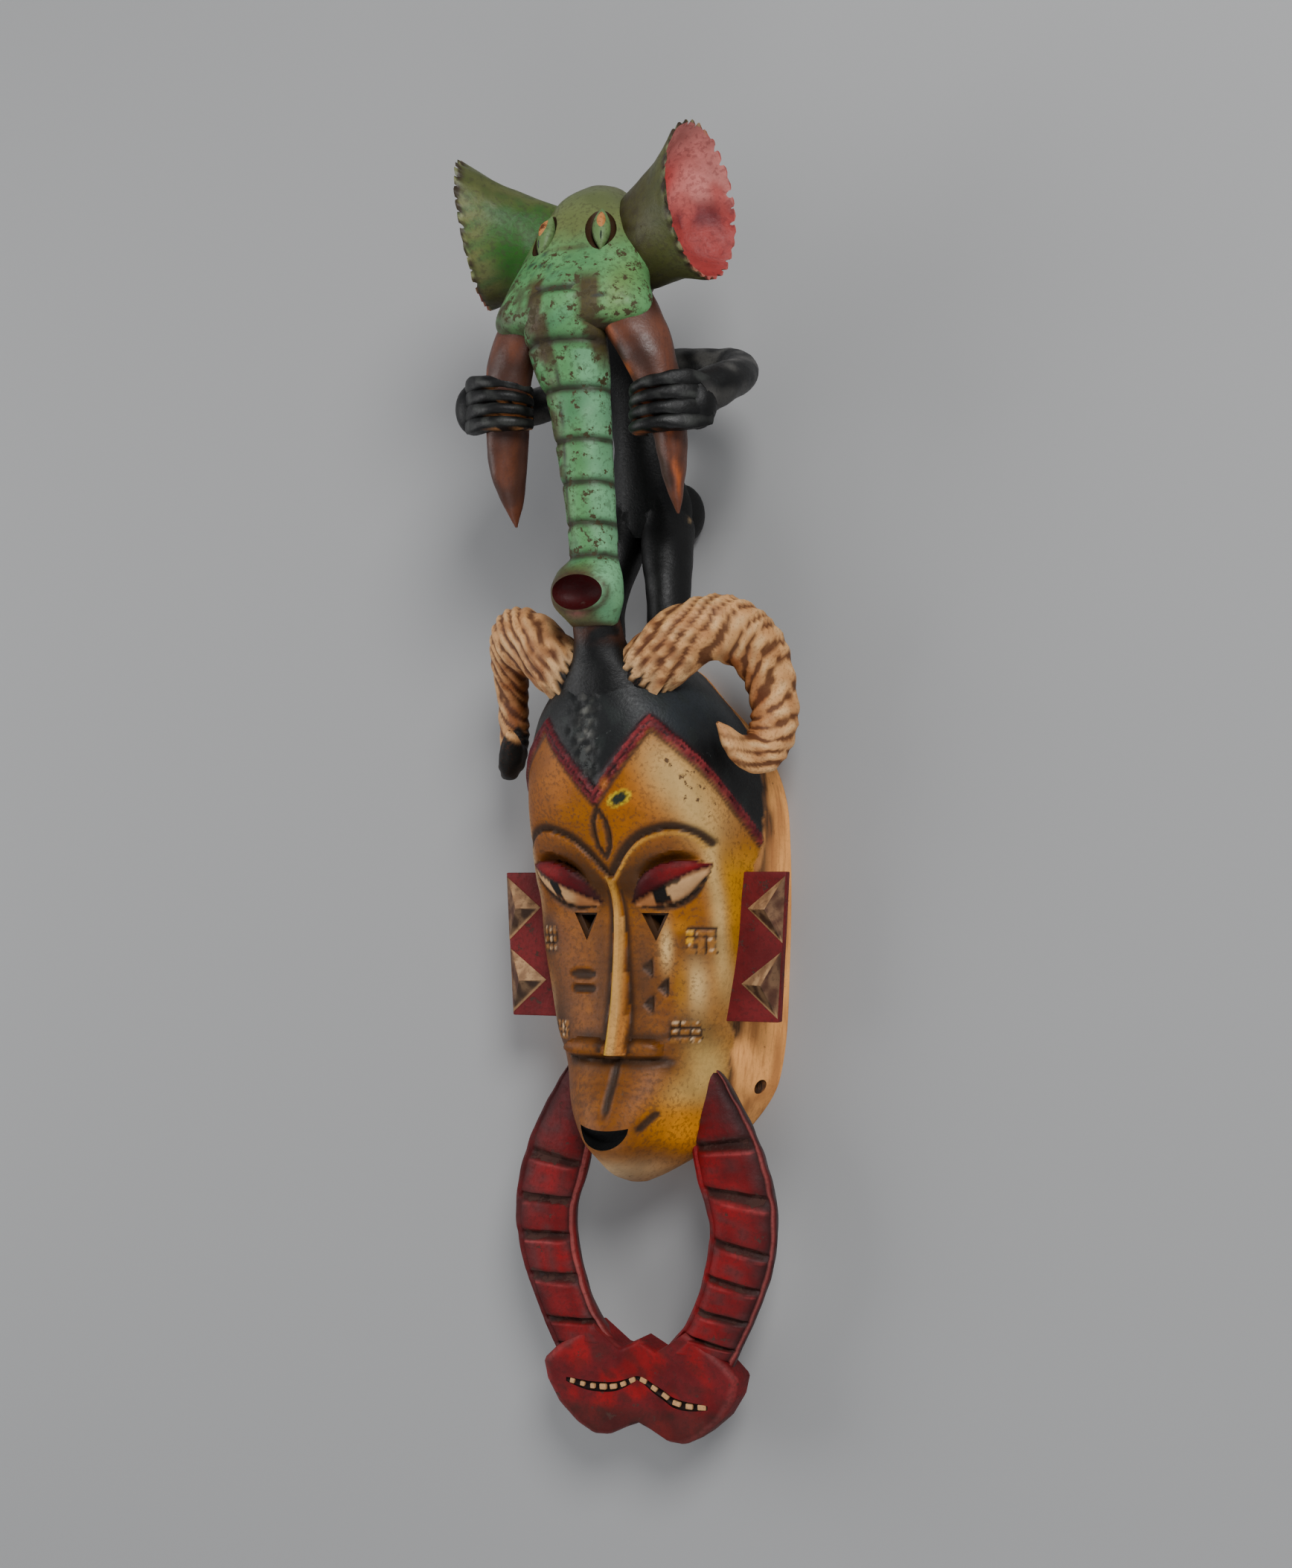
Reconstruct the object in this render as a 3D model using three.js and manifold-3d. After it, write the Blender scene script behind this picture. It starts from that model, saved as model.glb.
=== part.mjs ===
// A wall mask carved from one block: a long face with ram's horns, two snakes joined
// into a ring under the chin, and a standing figure that holds up an elephant's head.
// Millimetres. X is the viewer's right, Y runs up the mask, Z comes out of the face.
// The back rim lies in the plane Z = 0.

import * as THREE from 'three';
import { mergeVertices } from 'three/addons/utils/BufferGeometryUtils.js';
import Module from 'manifold-3d';

const wasm = await Module();
wasm.setup();

// Driving dimensions
const CHIN = -218; // lowest point of the face
const CROWN = 88; // highest point of the hair cap
const HOLLOW_SCALE = [0.86, 0.885, 0.88]; // the hollow is the face's own form, made smaller
const FACE_ROWS = 22;
const FACE_COLUMNS = 18;
const HORN_FLUTES = 7;
const HORN_TWIST = 2.2; // radians from root to tip
const SNAKE_STEPS = 7;
const EAR_TEETH = 15;
const TRUNK_GROOVES = [252, 226, 199, 176, 154, 136]; // heights of the cuts across the trunk
const FINGERS = 4;
const TUSK_TURN = -0.44; // how far the tusks' broad sides turn inwards, radians

const { cos, sin, PI, max, min, abs } = Math;
const vec = (x, y, z) => new THREE.Vector3(x, y, z);
const lerp = THREE.MathUtils.lerp;

// Smooth curve through [position, value] pairs sorted by position
function profile(pairs) {
  const last = pairs.length - 1;
  const slope = (k) => {
    const before = pairs[max(k - 1, 0)];
    const after = pairs[min(k + 1, last)];
    return (after[1] - before[1]) / (after[0] - before[0]);
  };
  return (at) => {
    let i = 0;
    while (i < last - 1 && at > pairs[i + 1][0]) i += 1;
    const [x0, y0] = pairs[i];
    const [x1, y1] = pairs[i + 1];
    const h = x1 - x0;
    const t = THREE.MathUtils.clamp((at - x0) / h, 0, 1);
    const a = slope(i) * h - (y1 - y0);
    const b = (y1 - y0) - slope(i + 1) * h;
    return lerp(y0, y1, t) + t * (1 - t) * (a * (1 - t) + b * t);
  };
}

// A closed body from equal rings of points, each end closed with a fan round its middle
function loft(rings) {
  const count = rings[0].length;
  const points = rings.flat();
  const faces = [];
  for (let r = 0; r < rings.length - 1; r += 1) {
    for (let c = 0; c < count; c += 1) {
      const a = r * count + c;
      const b = r * count + ((c + 1) % count);
      faces.push(a, b, b + count, a, b + count, a + count);
    }
  }
  for (const [ring, start, flip] of [[rings[0], 0, true], [rings.at(-1), points.length - count, false]]) {
    const middle = ring.reduce((sum, p) => sum.add(p), vec(0, 0, 0)).divideScalar(count);
    const tip = points.push(middle) - 1;
    for (let c = 0; c < count; c += 1) {
      const a = start + c;
      const b = start + ((c + 1) % count);
      faces.push(...(flip ? [tip, b, a] : [tip, a, b]));
    }
  }
  const geometry = new THREE.BufferGeometry().setFromPoints(points);
  geometry.setIndex(faces);
  return geometry;
}

// A geometry as a solid that can be joined and cut; one that is inside out is turned
function solid(geometry) {
  geometry.deleteAttribute('normal');
  geometry.deleteAttribute('uv');
  const merged = mergeVertices(geometry, 1e-4);
  const vertProperties = new Float32Array(merged.attributes.position.array);
  const triVerts = new Uint32Array(merged.index.array);
  let volume = 0;
  for (let i = 0; i < triVerts.length; i += 3) {
    const spot = (k) => new THREE.Vector3().fromArray(vertProperties, 3 * triVerts[i + k]);
    const [a, b, c] = [0, 1, 2].map(spot);
    volume += a.dot(b.cross(c));
  }
  if (volume < 0) {
    for (let i = 0; i < triVerts.length; i += 3) {
      [triVerts[i], triVerts[i + 1]] = [triVerts[i + 1], triVerts[i]];
    }
  }
  return new wasm.Manifold(new wasm.Mesh({ numProp: 3, vertProperties, triVerts }));
}

const joined = (solids) => solids.reduce((all, next) => all.add(next));

// The same body on both sides of the middle plane X = 0
const pair = (body) => [1, -1].map(body);

// Face: half-widths of the cross-section at three levels, and its front and back heights
const backWidth = profile([
  [-218, 5], [-207, 14], [-200, 34], [-189, 51], [-161, 68.5], [-95, 75], [-9, 75],
  [20, 68], [45, 52], [63, 35], [80, 20], [88, 6],
]);
const middleWidth = profile([
  [-218, 6], [-213, 17], [-203, 31], [-180, 41.5], [-153, 49.5], [-125, 56], [-80, 63],
  [-39, 65], [0, 64], [30, 61], [47, 57], [60, 49], [72, 37], [84, 20], [88, 10],
]);
const frontWidth = profile([
  [-218, 4], [-213, 9], [-202, 14], [-189, 23.6], [-176, 29.7], [-147, 38], [-130, 46],
  [-104, 52], [-73, 57], [-36, 56], [-8, 54], [20, 51], [47, 45], [60, 39], [72, 31], [88, 8],
]);
const frontHeight = profile([
  [-218, 56], [-213, 73], [-205, 88], [-194, 99], [-186, 98], [-170, 93], [-150, 83], [-120, 76],
  [-95, 75], [-66, 76], [-54, 80], [-43, 88], [-18, 100], [1, 108], [30, 113], [60, 111],
  [78, 102], [88, 72],
]);
const backHeight = (y) => 46 * max(0, (-205 - y) / 13) ** 1.3;

// Cross-section of the face at one height, from the middle of the front round to the rim
function section(y) {
  const back = backHeight(y);
  const front = frontHeight(y);
  const level = (share) => lerp(back, front, share);
  const curve = new THREE.CatmullRomCurve3([
    vec(-0.55 * frontWidth(y), y, level(0.955)),
    vec(0, y, front),
    vec(0.55 * frontWidth(y), y, level(0.955)),
    vec(frontWidth(y), y, level(0.8)),
    vec(middleWidth(y), y, level(0.5)),
    vec(backWidth(y), y, back),
  ]);
  curve.arcLengthDivisions = 60;
  const lengths = curve.getLengths();
  const start = lengths[12] / lengths.at(-1);
  return (share) => curve.getPointAt(lerp(start, 1, share));
}

// Point of the face at a share of the way from the middle line (0) to the rim (1 or -1)
function facePoint(share, y) {
  const p = section(y)(abs(share));
  p.x *= share < 0 ? -1 : 1;
  return p;
}

// Share of the way to the rim at which the front of the face reaches x
function shareAt(x, y) {
  const at = section(y);
  let [low, high] = [0, 0.75];
  for (let i = 0; i < 14; i += 1) {
    const half = (low + high) / 2;
    if (at(half).x < abs(x)) low = half;
    else high = half;
  }
  return low * (x < 0 ? -1 : 1);
}

// Point above the face where it is seen at (x, y), raised along the face's own normal
const onFace = (x, y, lift = 0) => raised(shareAt(x, y), y, lift);

function faceNormal(share, y) {
  const step = 0.02;
  const across = facePoint(share + step, y).sub(facePoint(share - step, y));
  const along = facePoint(share, y + 1).sub(facePoint(share, y - 1));
  return across.cross(along).normalize();
}

const raised = (share, y, lift) => facePoint(share, y).addScaledVector(faceNormal(share, y), lift);

function faceBody(rows, columns) {
  const rings = [];
  for (let r = 0; r <= rows; r += 1) {
    const y = lerp(CHIN, CROWN, 0.5 - 0.5 * cos((PI * r) / rows));
    const at = section(y);
    const half = Array.from({ length: columns / 2 + 1 }, (_, c) => at((2 * c) / columns));
    const left = half.slice(1).map((p) => vec(-p.x, p.y, p.z)).reverse();
    rings.push([...left, ...half]);
  }
  return solid(loft(rings));
}

// The hollow at the back, open at the rim
function hollow() {
  const middle = (CHIN + CROWN) / 2;
  return faceBody(10, 12).translate([0, -middle, 0]).scale(HOLLOW_SCALE).translate([0, middle, -1.5]);
}

// Hair line: one raised band, up and down in a zigzag over the forehead, mitred at its
// corners
const BAND_WIDTH = 7.5;
const BAND_LIFT = 1.8;
const HAIR_PEAK = [32, 44]; // x and y of the two peaks
const HAIR_DIP = 1.5; // height of the dip between them
const HAIR_END = [0.77, -21]; // share of the way to the rim and height of the two ends

function hairBand() {
  const peak = [shareAt(...HAIR_PEAK), HAIR_PEAK[1]];
  const corners = [HAIR_END, peak, [0, HAIR_DIP], [-peak[0], peak[1]], [-HAIR_END[0], HAIR_END[1]]];
  const steps = 5;
  const spots = [];
  for (let k = 0; k <= steps * (corners.length - 1); k += 1) {
    const i = min(Math.floor(k / steps), corners.length - 2);
    const t = k / steps - i;
    const [share, y] = [0, 1].map((n) => lerp(corners[i][n], corners[i + 1][n], t));
    spots.push({ point: facePoint(share, y), normal: faceNormal(share, y) });
  }
  return solid(loft(spots.map(({ point, normal }, k) => {
    const before = spots[max(k - 1, 0)].point;
    const after = spots[min(k + 1, spots.length - 1)].point;
    const along = after.clone().sub(before).normalize();
    const next = k < spots.length - 1 ? after.clone().sub(point) : point.clone().sub(before);
    const mitre = 1 / max(0.5, along.dot(next.normalize()));
    const side = along.cross(normal).normalize().multiplyScalar((mitre * BAND_WIDTH) / 2);
    return [[-1, -3], [1, -3], [1, BAND_LIFT], [-1, BAND_LIFT]].map(([across, lift]) => point.clone()
      .addScaledVector(side, across).addScaledVector(normal, lift));
  })));
}

// A V-shaped cut along a smooth line of (x, y) points on the face
function groove(points, width, depth, steps = 10) {
  const line = new THREE.CatmullRomCurve3(points.map(([x, y]) => vec(x, y, 0)));
  const spots = Array.from({ length: steps + 1 }, (_, k) => line.getPoint(k / steps));
  return solid(loft(spots.map((spot, i) => {
    const before = spots[max(i - 1, 0)];
    const after = spots[min(i + 1, steps)];
    const side = vec(before.y - after.y, after.x - before.x, 0).normalize().multiplyScalar(width);
    const taper = i === 0 || i === steps ? 0.15 : 1;
    return [
      onFace(spot.x + side.x, spot.y + side.y).add(vec(0, 0, depth)),
      onFace(spot.x - side.x, spot.y - side.y).add(vec(0, 0, depth)),
      onFace(spot.x, spot.y, -depth * taper),
    ];
  })));
}

// An egg shape: half-axes, turned about X, Y and Z, then placed
function egg(radii, place, turn = [0, 0, 0], detail = [10, 6]) {
  const geometry = new THREE.SphereGeometry(1, ...detail);
  geometry.scale(...radii);
  geometry.applyMatrix4(new THREE.Matrix4().makeRotationFromEuler(new THREE.Euler(...turn)));
  geometry.translate(...place);
  return solid(geometry);
}

// An almond that stands out of the face between two corners, flatter at its lower edge
function almond([x0, y0], [x1, y1], rise, drop, lift, sink) {
  const steps = 8;
  const rings = [];
  for (let k = 0; k <= steps; k += 1) {
    const t = k / steps;
    const swell = max(0.02, sin(PI * t) ** 0.8);
    const across = vec(y0 - y1, x1 - x0, 0).normalize().multiplyScalar(x1 > x0 ? 1 : -1);
    const [x, y] = [lerp(x0, x1, t), lerp(y0, y1, t)];
    const at = (offset, height) => onFace(x + across.x * offset, y + across.y * offset, height);
    rings.push([
      at(-drop * swell, -sink), at(-drop * swell, 0), at(-0.5 * drop * swell, 0.75 * lift * swell),
      at(0.1 * rise * swell, lift * swell), at(0.6 * rise * swell, 0.7 * lift * swell),
      at(rise * swell, 0), at(rise * swell, -sink),
    ]);
  }
  return solid(loft(rings));
}

const EYE_INNER = [9, -57];
const EYE_OUTER = [56, -35];

function eyes() {
  return joined(pair((side) => {
    const corners = [EYE_INNER, EYE_OUTER].map(([x, y]) => [side * x, y]);
    return almond(...corners, 11.5, 9.5, 6.5, 8);
  }));
}

// Eye sockets sunk under the brows
function sockets() {
  const socket = (side) => egg([30, 16.5, 13], [side * 35, -47, 90], [0, side * 0.3, side * 0.36], [12, 7]);
  return joined(pair(socket));
}

function brows() {
  const arc = [[0, -43.3], [12.3, -28.3], [27.9, -18], [40.7, -15.6], [51.3, -19.3], [58, -27]];
  return joined([
    ...pair((side) => groove(arc.map(([x, y]) => [side * x, y]), 2, 2.6, 8)),
    ...pair((side) => groove([[0, -5], [side * 4, -18], [0, -31]], 1.3, 2, 5)),
  ]);
}

// Nose: a thin ridge that grows towards the wings, which run out sideways along its foot
function nose() {
  const steps = 6;
  const rings = Array.from({ length: steps + 1 }, (_, k) => {
    const t = k / steps;
    const y = lerp(-45, -143.5, t);
    const [wide, high] = [lerp(3, 8.5, t ** 1.4), lerp(4, 10.5, t)];
    const root = frontHeight(y);
    return [[-wide, -8], [wide, -8], [wide, -1], [0.35 * wide, high], [-0.35 * wide, high], [-wide, -1]]
      .map(([x, lift]) => vec(x, y, root + lift));
  });
  const wing = (side) => egg([14.5, 4.6, 6], [side * 20, -140.5, 79], [0, side * 0.12, -side * 0.04], [8, 5]);
  const wings = pair(wing);
  return joined([solid(loft(rings)), ...wings]);
}

// Cuts in the lower face: the step under the nose, the groove down the lip and the mouth
function mouthCuts() {
  const halfMoon = new THREE.Shape().absarc(0, 0, 14.5, PI, 2 * PI);
  const way = { depth: 12, steps: 1, bevelEnabled: false, curveSegments: 8 };
  const mouth = new THREE.ExtrudeGeometry(halfMoon, way);
  mouth.scale(1, 0.75, 1);
  mouth.rotateX(0.35);
  mouth.translate(-1.5, -182, 91);
  return joined([
    groove([[-32, -145.5], [0, -146.5], [32, -145.5]], 2.2, 2.4, 6),
    groove([[3, -147], [0, -160], [-1, -176]], 2, 2.2, 4),
    groove([[29, -173], [24, -179], [16, -187]], 2.4, 1.6, 3),
    solid(mouth),
  ]);
}

// Slits under the eyes: a carved triangle, pierced right through at its upper part
function eyeSlits() {
  const triangle = (scale) => {
    const corners = [[-8, 1], [8, 1], [0, -15]];
    const shape = new THREE.Shape(corners.map(([x, y]) => new THREE.Vector2(x * scale, y * scale)));
    return shape;
  };
  return joined(pair((side) => {
    const carved = new THREE.ExtrudeGeometry(triangle(1), { depth: 20, steps: 1, bevelEnabled: false });
    carved.translate(side * 22, -64, 70);
    const pierced = new THREE.ExtrudeGeometry(triangle(0.55), { depth: 60, steps: 1, bevelEnabled: false });
    pierced.translate(side * 22, -65, 30);
    return solid(carved).add(solid(pierced));
  }));
}

// Flat ears with two pyramids each, their feet on the outer edge
function maskEars() {
  const [top, bottom, face, thick] = [-39.5, -125, 46, 6.5];
  return joined(pair((side) => {
    const outline = [[56, top], [90.5, top], [85.5, bottom], [48, bottom]];
    const plate = new THREE.ExtrudeGeometry(
      new THREE.Shape(outline.map(([x, y]) => new THREE.Vector2(side * x, y))),
      { depth: thick, steps: 1, bevelEnabled: false },
    );
    plate.translate(0, 0, face - thick);
    const pyramids = [[90, -42, 88, -80, 67, -60.5], [87.5, -85, 85, -123, 63, -103.5]].map((edge) => {
      const foot = [0, 2, 4].map((i) => vec(side * edge[i], edge[i + 1], face - 2));
      const lifted = foot.map((p) => p.clone().setZ(face + 0.2));
      const peak = vec(side * (edge[0] - 6), (edge[1] + edge[3]) / 2, face + 7);
      return solid(loft([foot, lifted, lifted.map((p) => p.clone().lerp(peak, 0.96))]));
    });
    return joined([solid(plate), ...pyramids]);
  }));
}

// A round body drawn along a curve, with its radius given at shares of the way
function sweep(points, radii, rings, around) {
  const curve = new THREE.CatmullRomCurve3(points.map((p) => vec(...p)));
  const frames = curve.computeFrenetFrames(rings, false);
  const radius = profile(radii);
  return solid(loft(Array.from({ length: rings + 1 }, (_, r) => {
    const centre = curve.getPointAt(r / rings);
    return Array.from({ length: around }, (__, c) => {
      const angle = (2 * PI * c) / around;
      return centre.clone()
        .addScaledVector(frames.normals[r], radius(r / rings) * cos(angle))
        .addScaledVector(frames.binormals[r], radius(r / rings) * sin(angle));
    });
  })));
}

// A body of level oval rings, for forms that stand along Y: [y, x, z, half-width, half-depth]
function column(stations, rings, around, ripple = () => 1, turn = 0) {
  const pick = (i) => profile(stations.map((s) => [s[0], s[i]]));
  const [x, z, wide, deep] = [1, 2, 3, 4].map(pick);
  const [from, to] = [stations[0][0], stations.at(-1)[0]];
  return solid(loft(Array.from({ length: rings.length ?? rings + 1 }, (_, r) => {
    const y = rings.length ? rings[r] : lerp(from, to, r / rings);
    return Array.from({ length: around }, (__, c) => {
      const angle = (2 * PI * c) / around;
      const carved = ripple(y, angle);
      const [across, out] = [wide(y) * carved * cos(angle), deep(y) * carved * sin(angle)];
      return vec(x(y) + across * cos(turn) - out * sin(turn), y, z(y) + across * sin(turn) + out * cos(turn));
    });
  })));
}

// Ram's horns: thick arches that coil out, back and down, the tip turned up towards the
// front. The section is an oval whose long axis points away from the middle of the coil.
const HORN_LINE = [
  [10, 58, 86], [26, 73, 92], [46, 91, 89], [65.5, 97, 79], [79.5, 86, 62], [84, 64, 50],
  [84, 43, 48], [80, 29, 56], [73.5, 28, 71], [66, 43, 87],
];
const HORN_COIL = [60, 58, 70];
const HORN_SIZES = [[0, 18, 15], [0.2, 19, 15], [0.42, 18.5, 12], [0.6, 15, 8.5], [0.75, 14, 8],
  [0.88, 11, 6.5],
  [0.95, 7, 5], [1, 1.6, 1.6]];

function horns() {
  const curve = new THREE.CatmullRomCurve3(HORN_LINE.map((p) => vec(...p)));
  const [long, short] = [1, 2].map((i) => profile(HORN_SIZES.map((size) => [size[0], size[i]])));
  const [rings, around] = [17, 2 * HORN_FLUTES];
  return joined(pair((side) => solid(loft(Array.from({ length: rings + 1 }, (_, r) => {
    const share = r / rings;
    const centre = curve.getPointAt(share);
    const tangent = curve.getTangentAt(share);
    const outward = centre.clone().sub(vec(...HORN_COIL));
    outward.addScaledVector(tangent, -outward.dot(tangent)).normalize();
    const sideways = tangent.clone().cross(outward);
    return Array.from({ length: around }, (__, c) => {
      const angle = (2 * PI * c) / around + HORN_TWIST * share;
      const flute = c % 2 ? 0.9 : 1.05;
      const p = centre.clone()
        .addScaledVector(outward, long(share) * flute * cos(angle))
        .addScaledVector(sideways, short(share) * flute * sin(angle));
      return vec(side * p.x, p.y, p.z);
    });
  })))));
}

// Snakes: from the jaw out and down round an open ring, the backs carved in steps that
// slope from a high inner edge to a lower outer one
const SNAKE_BACK = 33;
const SNAKE_INNER = 48;
const SNAKE_OUTER = 44;

function snakes() {
  const outer = new THREE.CatmullRomCurve3([
    vec(45, -148, 0), vec(60, -170, 0), vec(75, -198, 0), vec(84, -234, 0),
    vec(81, -264, 0), vec(71, -291, 0), vec(56, -322, 0),
  ]);
  const inner = new THREE.CatmullRomCurve3([
    vec(38, -160, 0), vec(32, -190, 0), vec(35, -212, 0), vec(43, -240, 0),
    vec(40, -268, 0), vec(29, -297, 0), vec(12, -317, 0),
  ]);
  return joined(pair((side) => {
    const rings = [];
    for (let step = 0; step < SNAKE_STEPS; step += 1) {
      for (const [part, lift] of [[0.02, -2.2], [0.2, 1.2], [0.96, 1.2]]) {
        const share = (step + part) / SNAKE_STEPS;
        const [out, inside] = [outer.getPoint(share), inner.getPoint(share)];
        const across = (t, z) => vec(side * lerp(inside.x, out.x, t), lerp(inside.y, out.y, t), z);
        rings.push([
          across(0.14, SNAKE_BACK), across(0, SNAKE_INNER + 0.4 * lift), across(0.25, SNAKE_INNER + 3 + lift),
          across(0.8, SNAKE_OUTER + 3.5 + lift), across(1, SNAKE_OUTER), across(0.84, SNAKE_BACK),
        ]);
      }
    }
    return solid(loft(rings));
  }));
}

// The snakes' heads, brow to brow, each with a lipped mouth
const HEAD_FRONT = 52;

function snakeHeads() {
  const half = [[0, -309], [12, -315], [30, -302], [54, -318], [62.5, -326], [60, -337], [52, -350],
    [40, -360.5],
    [29, -366], [19, -365.5], [8, -360], [0, -356.8]];
  const outline = [...half, ...half.slice(1, -1).reverse().map(([x, y]) => [-x, y])];
  const [front, back] = [4, 5]; // how far the edges are rounded off
  const heads = new THREE.ExtrudeGeometry(
    new THREE.Shape(outline.map(([x, y]) => new THREE.Vector2(x, y))),
    {
      depth: HEAD_FRONT - SNAKE_BACK - front - back,
      steps: 1,
      bevelEnabled: true,
      bevelThickness: front,
      bevelSize: front,
      bevelOffset: -front,
      bevelSegments: 1,
    },
  );
  heads.translate(0, 0, SNAKE_BACK + back);
  return solid(heads);
}

// x and y along each mouth; the left one is flatter
const RIGHT_MOUTH = [[2, -331], [10.5, -335.7], [16.7, -338.9], [22.5, -342.2], [30.7, -343.6], [45, -343.2]];
const LEFT_MOUTH = [[-3, -332], [-12.5, -336.4], [-18.8, -337.7], [-25.4, -338.1], [-31.7, -338.1],
  [-47, -335.6]];

function snakeMouths() {
  const steps = 7;
  return joined([RIGHT_MOUTH, LEFT_MOUTH].map((spots) => {
    const line = new THREE.CatmullRomCurve3(spots.map(([x, y]) => vec(x, y, 0)));
    return solid(loft(Array.from({ length: steps + 1 }, (_, k) => {
      const { x, y } = line.getPoint(k / steps);
      const half = 3 * max(0.25, sin((PI * k) / steps) ** 0.5);
      return [[-half, 3], [half, 3], [half, -2], [-half, -2]]
        .map(([rise, lift]) => vec(x, y + rise, HEAD_FRONT - 1 + lift));
    })));
  }));
}

// Standing figure: legs, hips with full buttocks, torso and neck
function figure() {
  const legs = pair((side) => column([
    [70, side * 19, 54, 12, 14], [92, side * 21, 54, 12.5, 14], [120, side * 20.5, 53, 12.5, 14.5],
    [150, side * 16, 44, 15, 18], [168, side * 13, 36, 14, 19], [190, side * 9, 38, 10, 14],
  ], 6, 8));
  const torso = column([
    [157, 0, 37, 17, 14], [166, 0, 35, 25, 19], [178, 0, 34, 26, 21], [193, 0, 37, 22, 19],
    [215, 0, 42, 19, 17],
    [240, 0, 47, 22, 18], [258, 0, 53, 27, 19], [275, 0, 68, 20, 22], [300, 0, 95, 16, 22],
  ], 10, 10);
  const buttocks = pair((side) => egg([13.5, 18, 18], [side * 13, 176, 17.5], [0.15, 0, 0], [8, 5]));
  return joined([torso, ...legs, ...buttocks]);
}

// Arms: out from the shoulders and round in a loop to the front
function arms() {
  return joined(pair((side) => sweep(
    [[16, 256, 254, 50], [44, 254, 247, 50], [66, 249, 239, 60], [76, 239, 233, 80], [76, 230, 229, 102],
      [66, 219, 227, 118]].map(([x, right, left, z]) => (side > 0 ? [x, right, z] : [-1.05 * x, left, z])),
    [[0, 12], [0.3, 11], [0.7, 10.5], [0.9, 12], [1, 13]],
    10, 8,
  )));
}

// Hands: a palm outside each tusk and fingers side by side round its front
const HAND_LINE = [[74, 117], [64, 131], [50, 137], [39, 133.5], [33.5, 122]]; // x and z, wrist to tips
const HAND_HEIGHT = 226; // of the left hand
const HAND_STEP = 10; // how much lower the right hand sits

function handHeight(side) {
  return side < 0 ? HAND_HEIGHT : HAND_HEIGHT - HAND_STEP;
}

function hands() {
  const line = HAND_LINE.map(([x, z]) => vec(x, 0, z));
  const halfHeights = [13, 16.5, 16.5, 15.5, 13];
  return joined(pair((side) => {
    const rings = line.map((spot, k) => {
      const before = line[max(k - 1, 0)];
      const after = line[min(k + 1, line.length - 1)];
      const out = vec(before.z - after.z, 0, after.x - before.x).normalize().negate();
      const at = (rise, lift) => {
        const p = spot.clone().addScaledVector(out, lift);
        return vec(side * p.x, handHeight(side) - k + rise * halfHeights[k], p.z);
      };
      const knuckle = k === 0 || k === line.length - 1 ? 2.5 : 5;
      const ridge = (_, j) => at(1 - j / FINGERS, j % 2 ? knuckle : 1);
      const front = Array.from({ length: 2 * FINGERS + 1 }, ridge);
      return [...front, at(-1, -6), at(1, -6)];
    });
    const palm = egg([11, 15, 11], [side > 0 ? 68 : -72, handHeight(side), 119], [0, side * 0.7, 0], [8, 6]);
    return palm.add(solid(loft(rings)));
  }));
}

// Elephant: skull and cheeks in one form that leans forward as it comes down
function elephantHead() {
  const stations = [
    [256, 0, 135, 30, 14], [261, 0, 136, 44, 20], [270, 0, 135, 47, 23], [285, 0, 129, 42.5, 25],
    [303, 0, 121.5, 37.5, 23.5], [318, 0, 116.5, 32, 22], [333, 0, 110, 25.5, 19.5], [343, 0, 104, 19, 16.5],
    [349.5, 0, 99, 10, 10], [351.5, 0, 98, 3, 3],
  ];
  const levels = [256, 258.5, 263, 272, 286, 303, 320, 333, 342, 348, 351.5];
  const back = egg([33, 36, 30], [0, 310, 98], [0.2, 0, 0], [10, 6]);
  return column(stations, levels, 14).add(back);
}

// Almond eyes: a sunk ring with a smaller almond standing in it
function elephantEyes() {
  return pair((side) => {
    const place = [side * 17.5, 314, 136.5];
    const turn = [-0.36, side * 0.45, side * 0.12];
    return {
      cut: egg([8.2, 17, 5.5], place, turn, [8, 6]),
      ball: egg([5.6, 13, 5.5], [place[0] - side * 0.5, place[1] - 0.6, place[2] - 1.6], turn, [6, 6]),
    };
  });
}

// Cupped ears: a funnel from the head's side out to an oval rim with cut teeth
const EAR_RIM = { centre: [72.5, 327, 122], tall: [2, 40.5, 11.5], wide: [7.5, 0, -32.5] };
const EAR_ROOT = { centre: [26, 312, 110], tall: [-5, 28, -3], wide: [3, 0, -17] };

function elephantEars() {
  const count = 2 * EAR_TEETH;
  const ring = (side, t, size, notch = 1) => Array.from({ length: count }, (_, c) => {
    const angle = (2 * PI * c) / count;
    const [centre, tall, wide] = ['centre', 'tall', 'wide']
      .map((key) => vec(...EAR_ROOT[key]).lerp(vec(...EAR_RIM[key]), t));
    const reach = size * (c % 2 ? notch : 1);
    const p = centre.addScaledVector(tall, reach * cos(angle)).addScaledVector(wide, reach * sin(angle));
    return vec(side * p.x, p.y, p.z);
  });
  return pair((side) => {
    const cup = loft([ring(side, 0, 1), ring(side, 0.55, 0.92), ring(side, 0.97, 1, 0.92)]);
    const bowl = loft([ring(side, 0.5, 0.45), ring(side, 0.74, 0.78), ring(side, 1.05, 0.94)]);
    return solid(cup).subtract(solid(bowl));
  });
}

// Tusks: slightly flat, thick above the hands and pointed below
function tusks() {
  return joined(pair((side) => column([
    [158, side * 51, 107, 0.7, 0.7], [170, side * 51, 111, 4.5, 6.5], [187, side * 51.5, 115.5, 8, 11.5],
    [215, side * 49.5, 120.5, 11, 13], [242, side * 43, 130, 15.5, 12], [264, side * 34, 132.5, 18, 11],
    [288, side * 25, 124, 12, 12],
  ], 8, 9, undefined, side * TUSK_TURN)));
}

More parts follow.
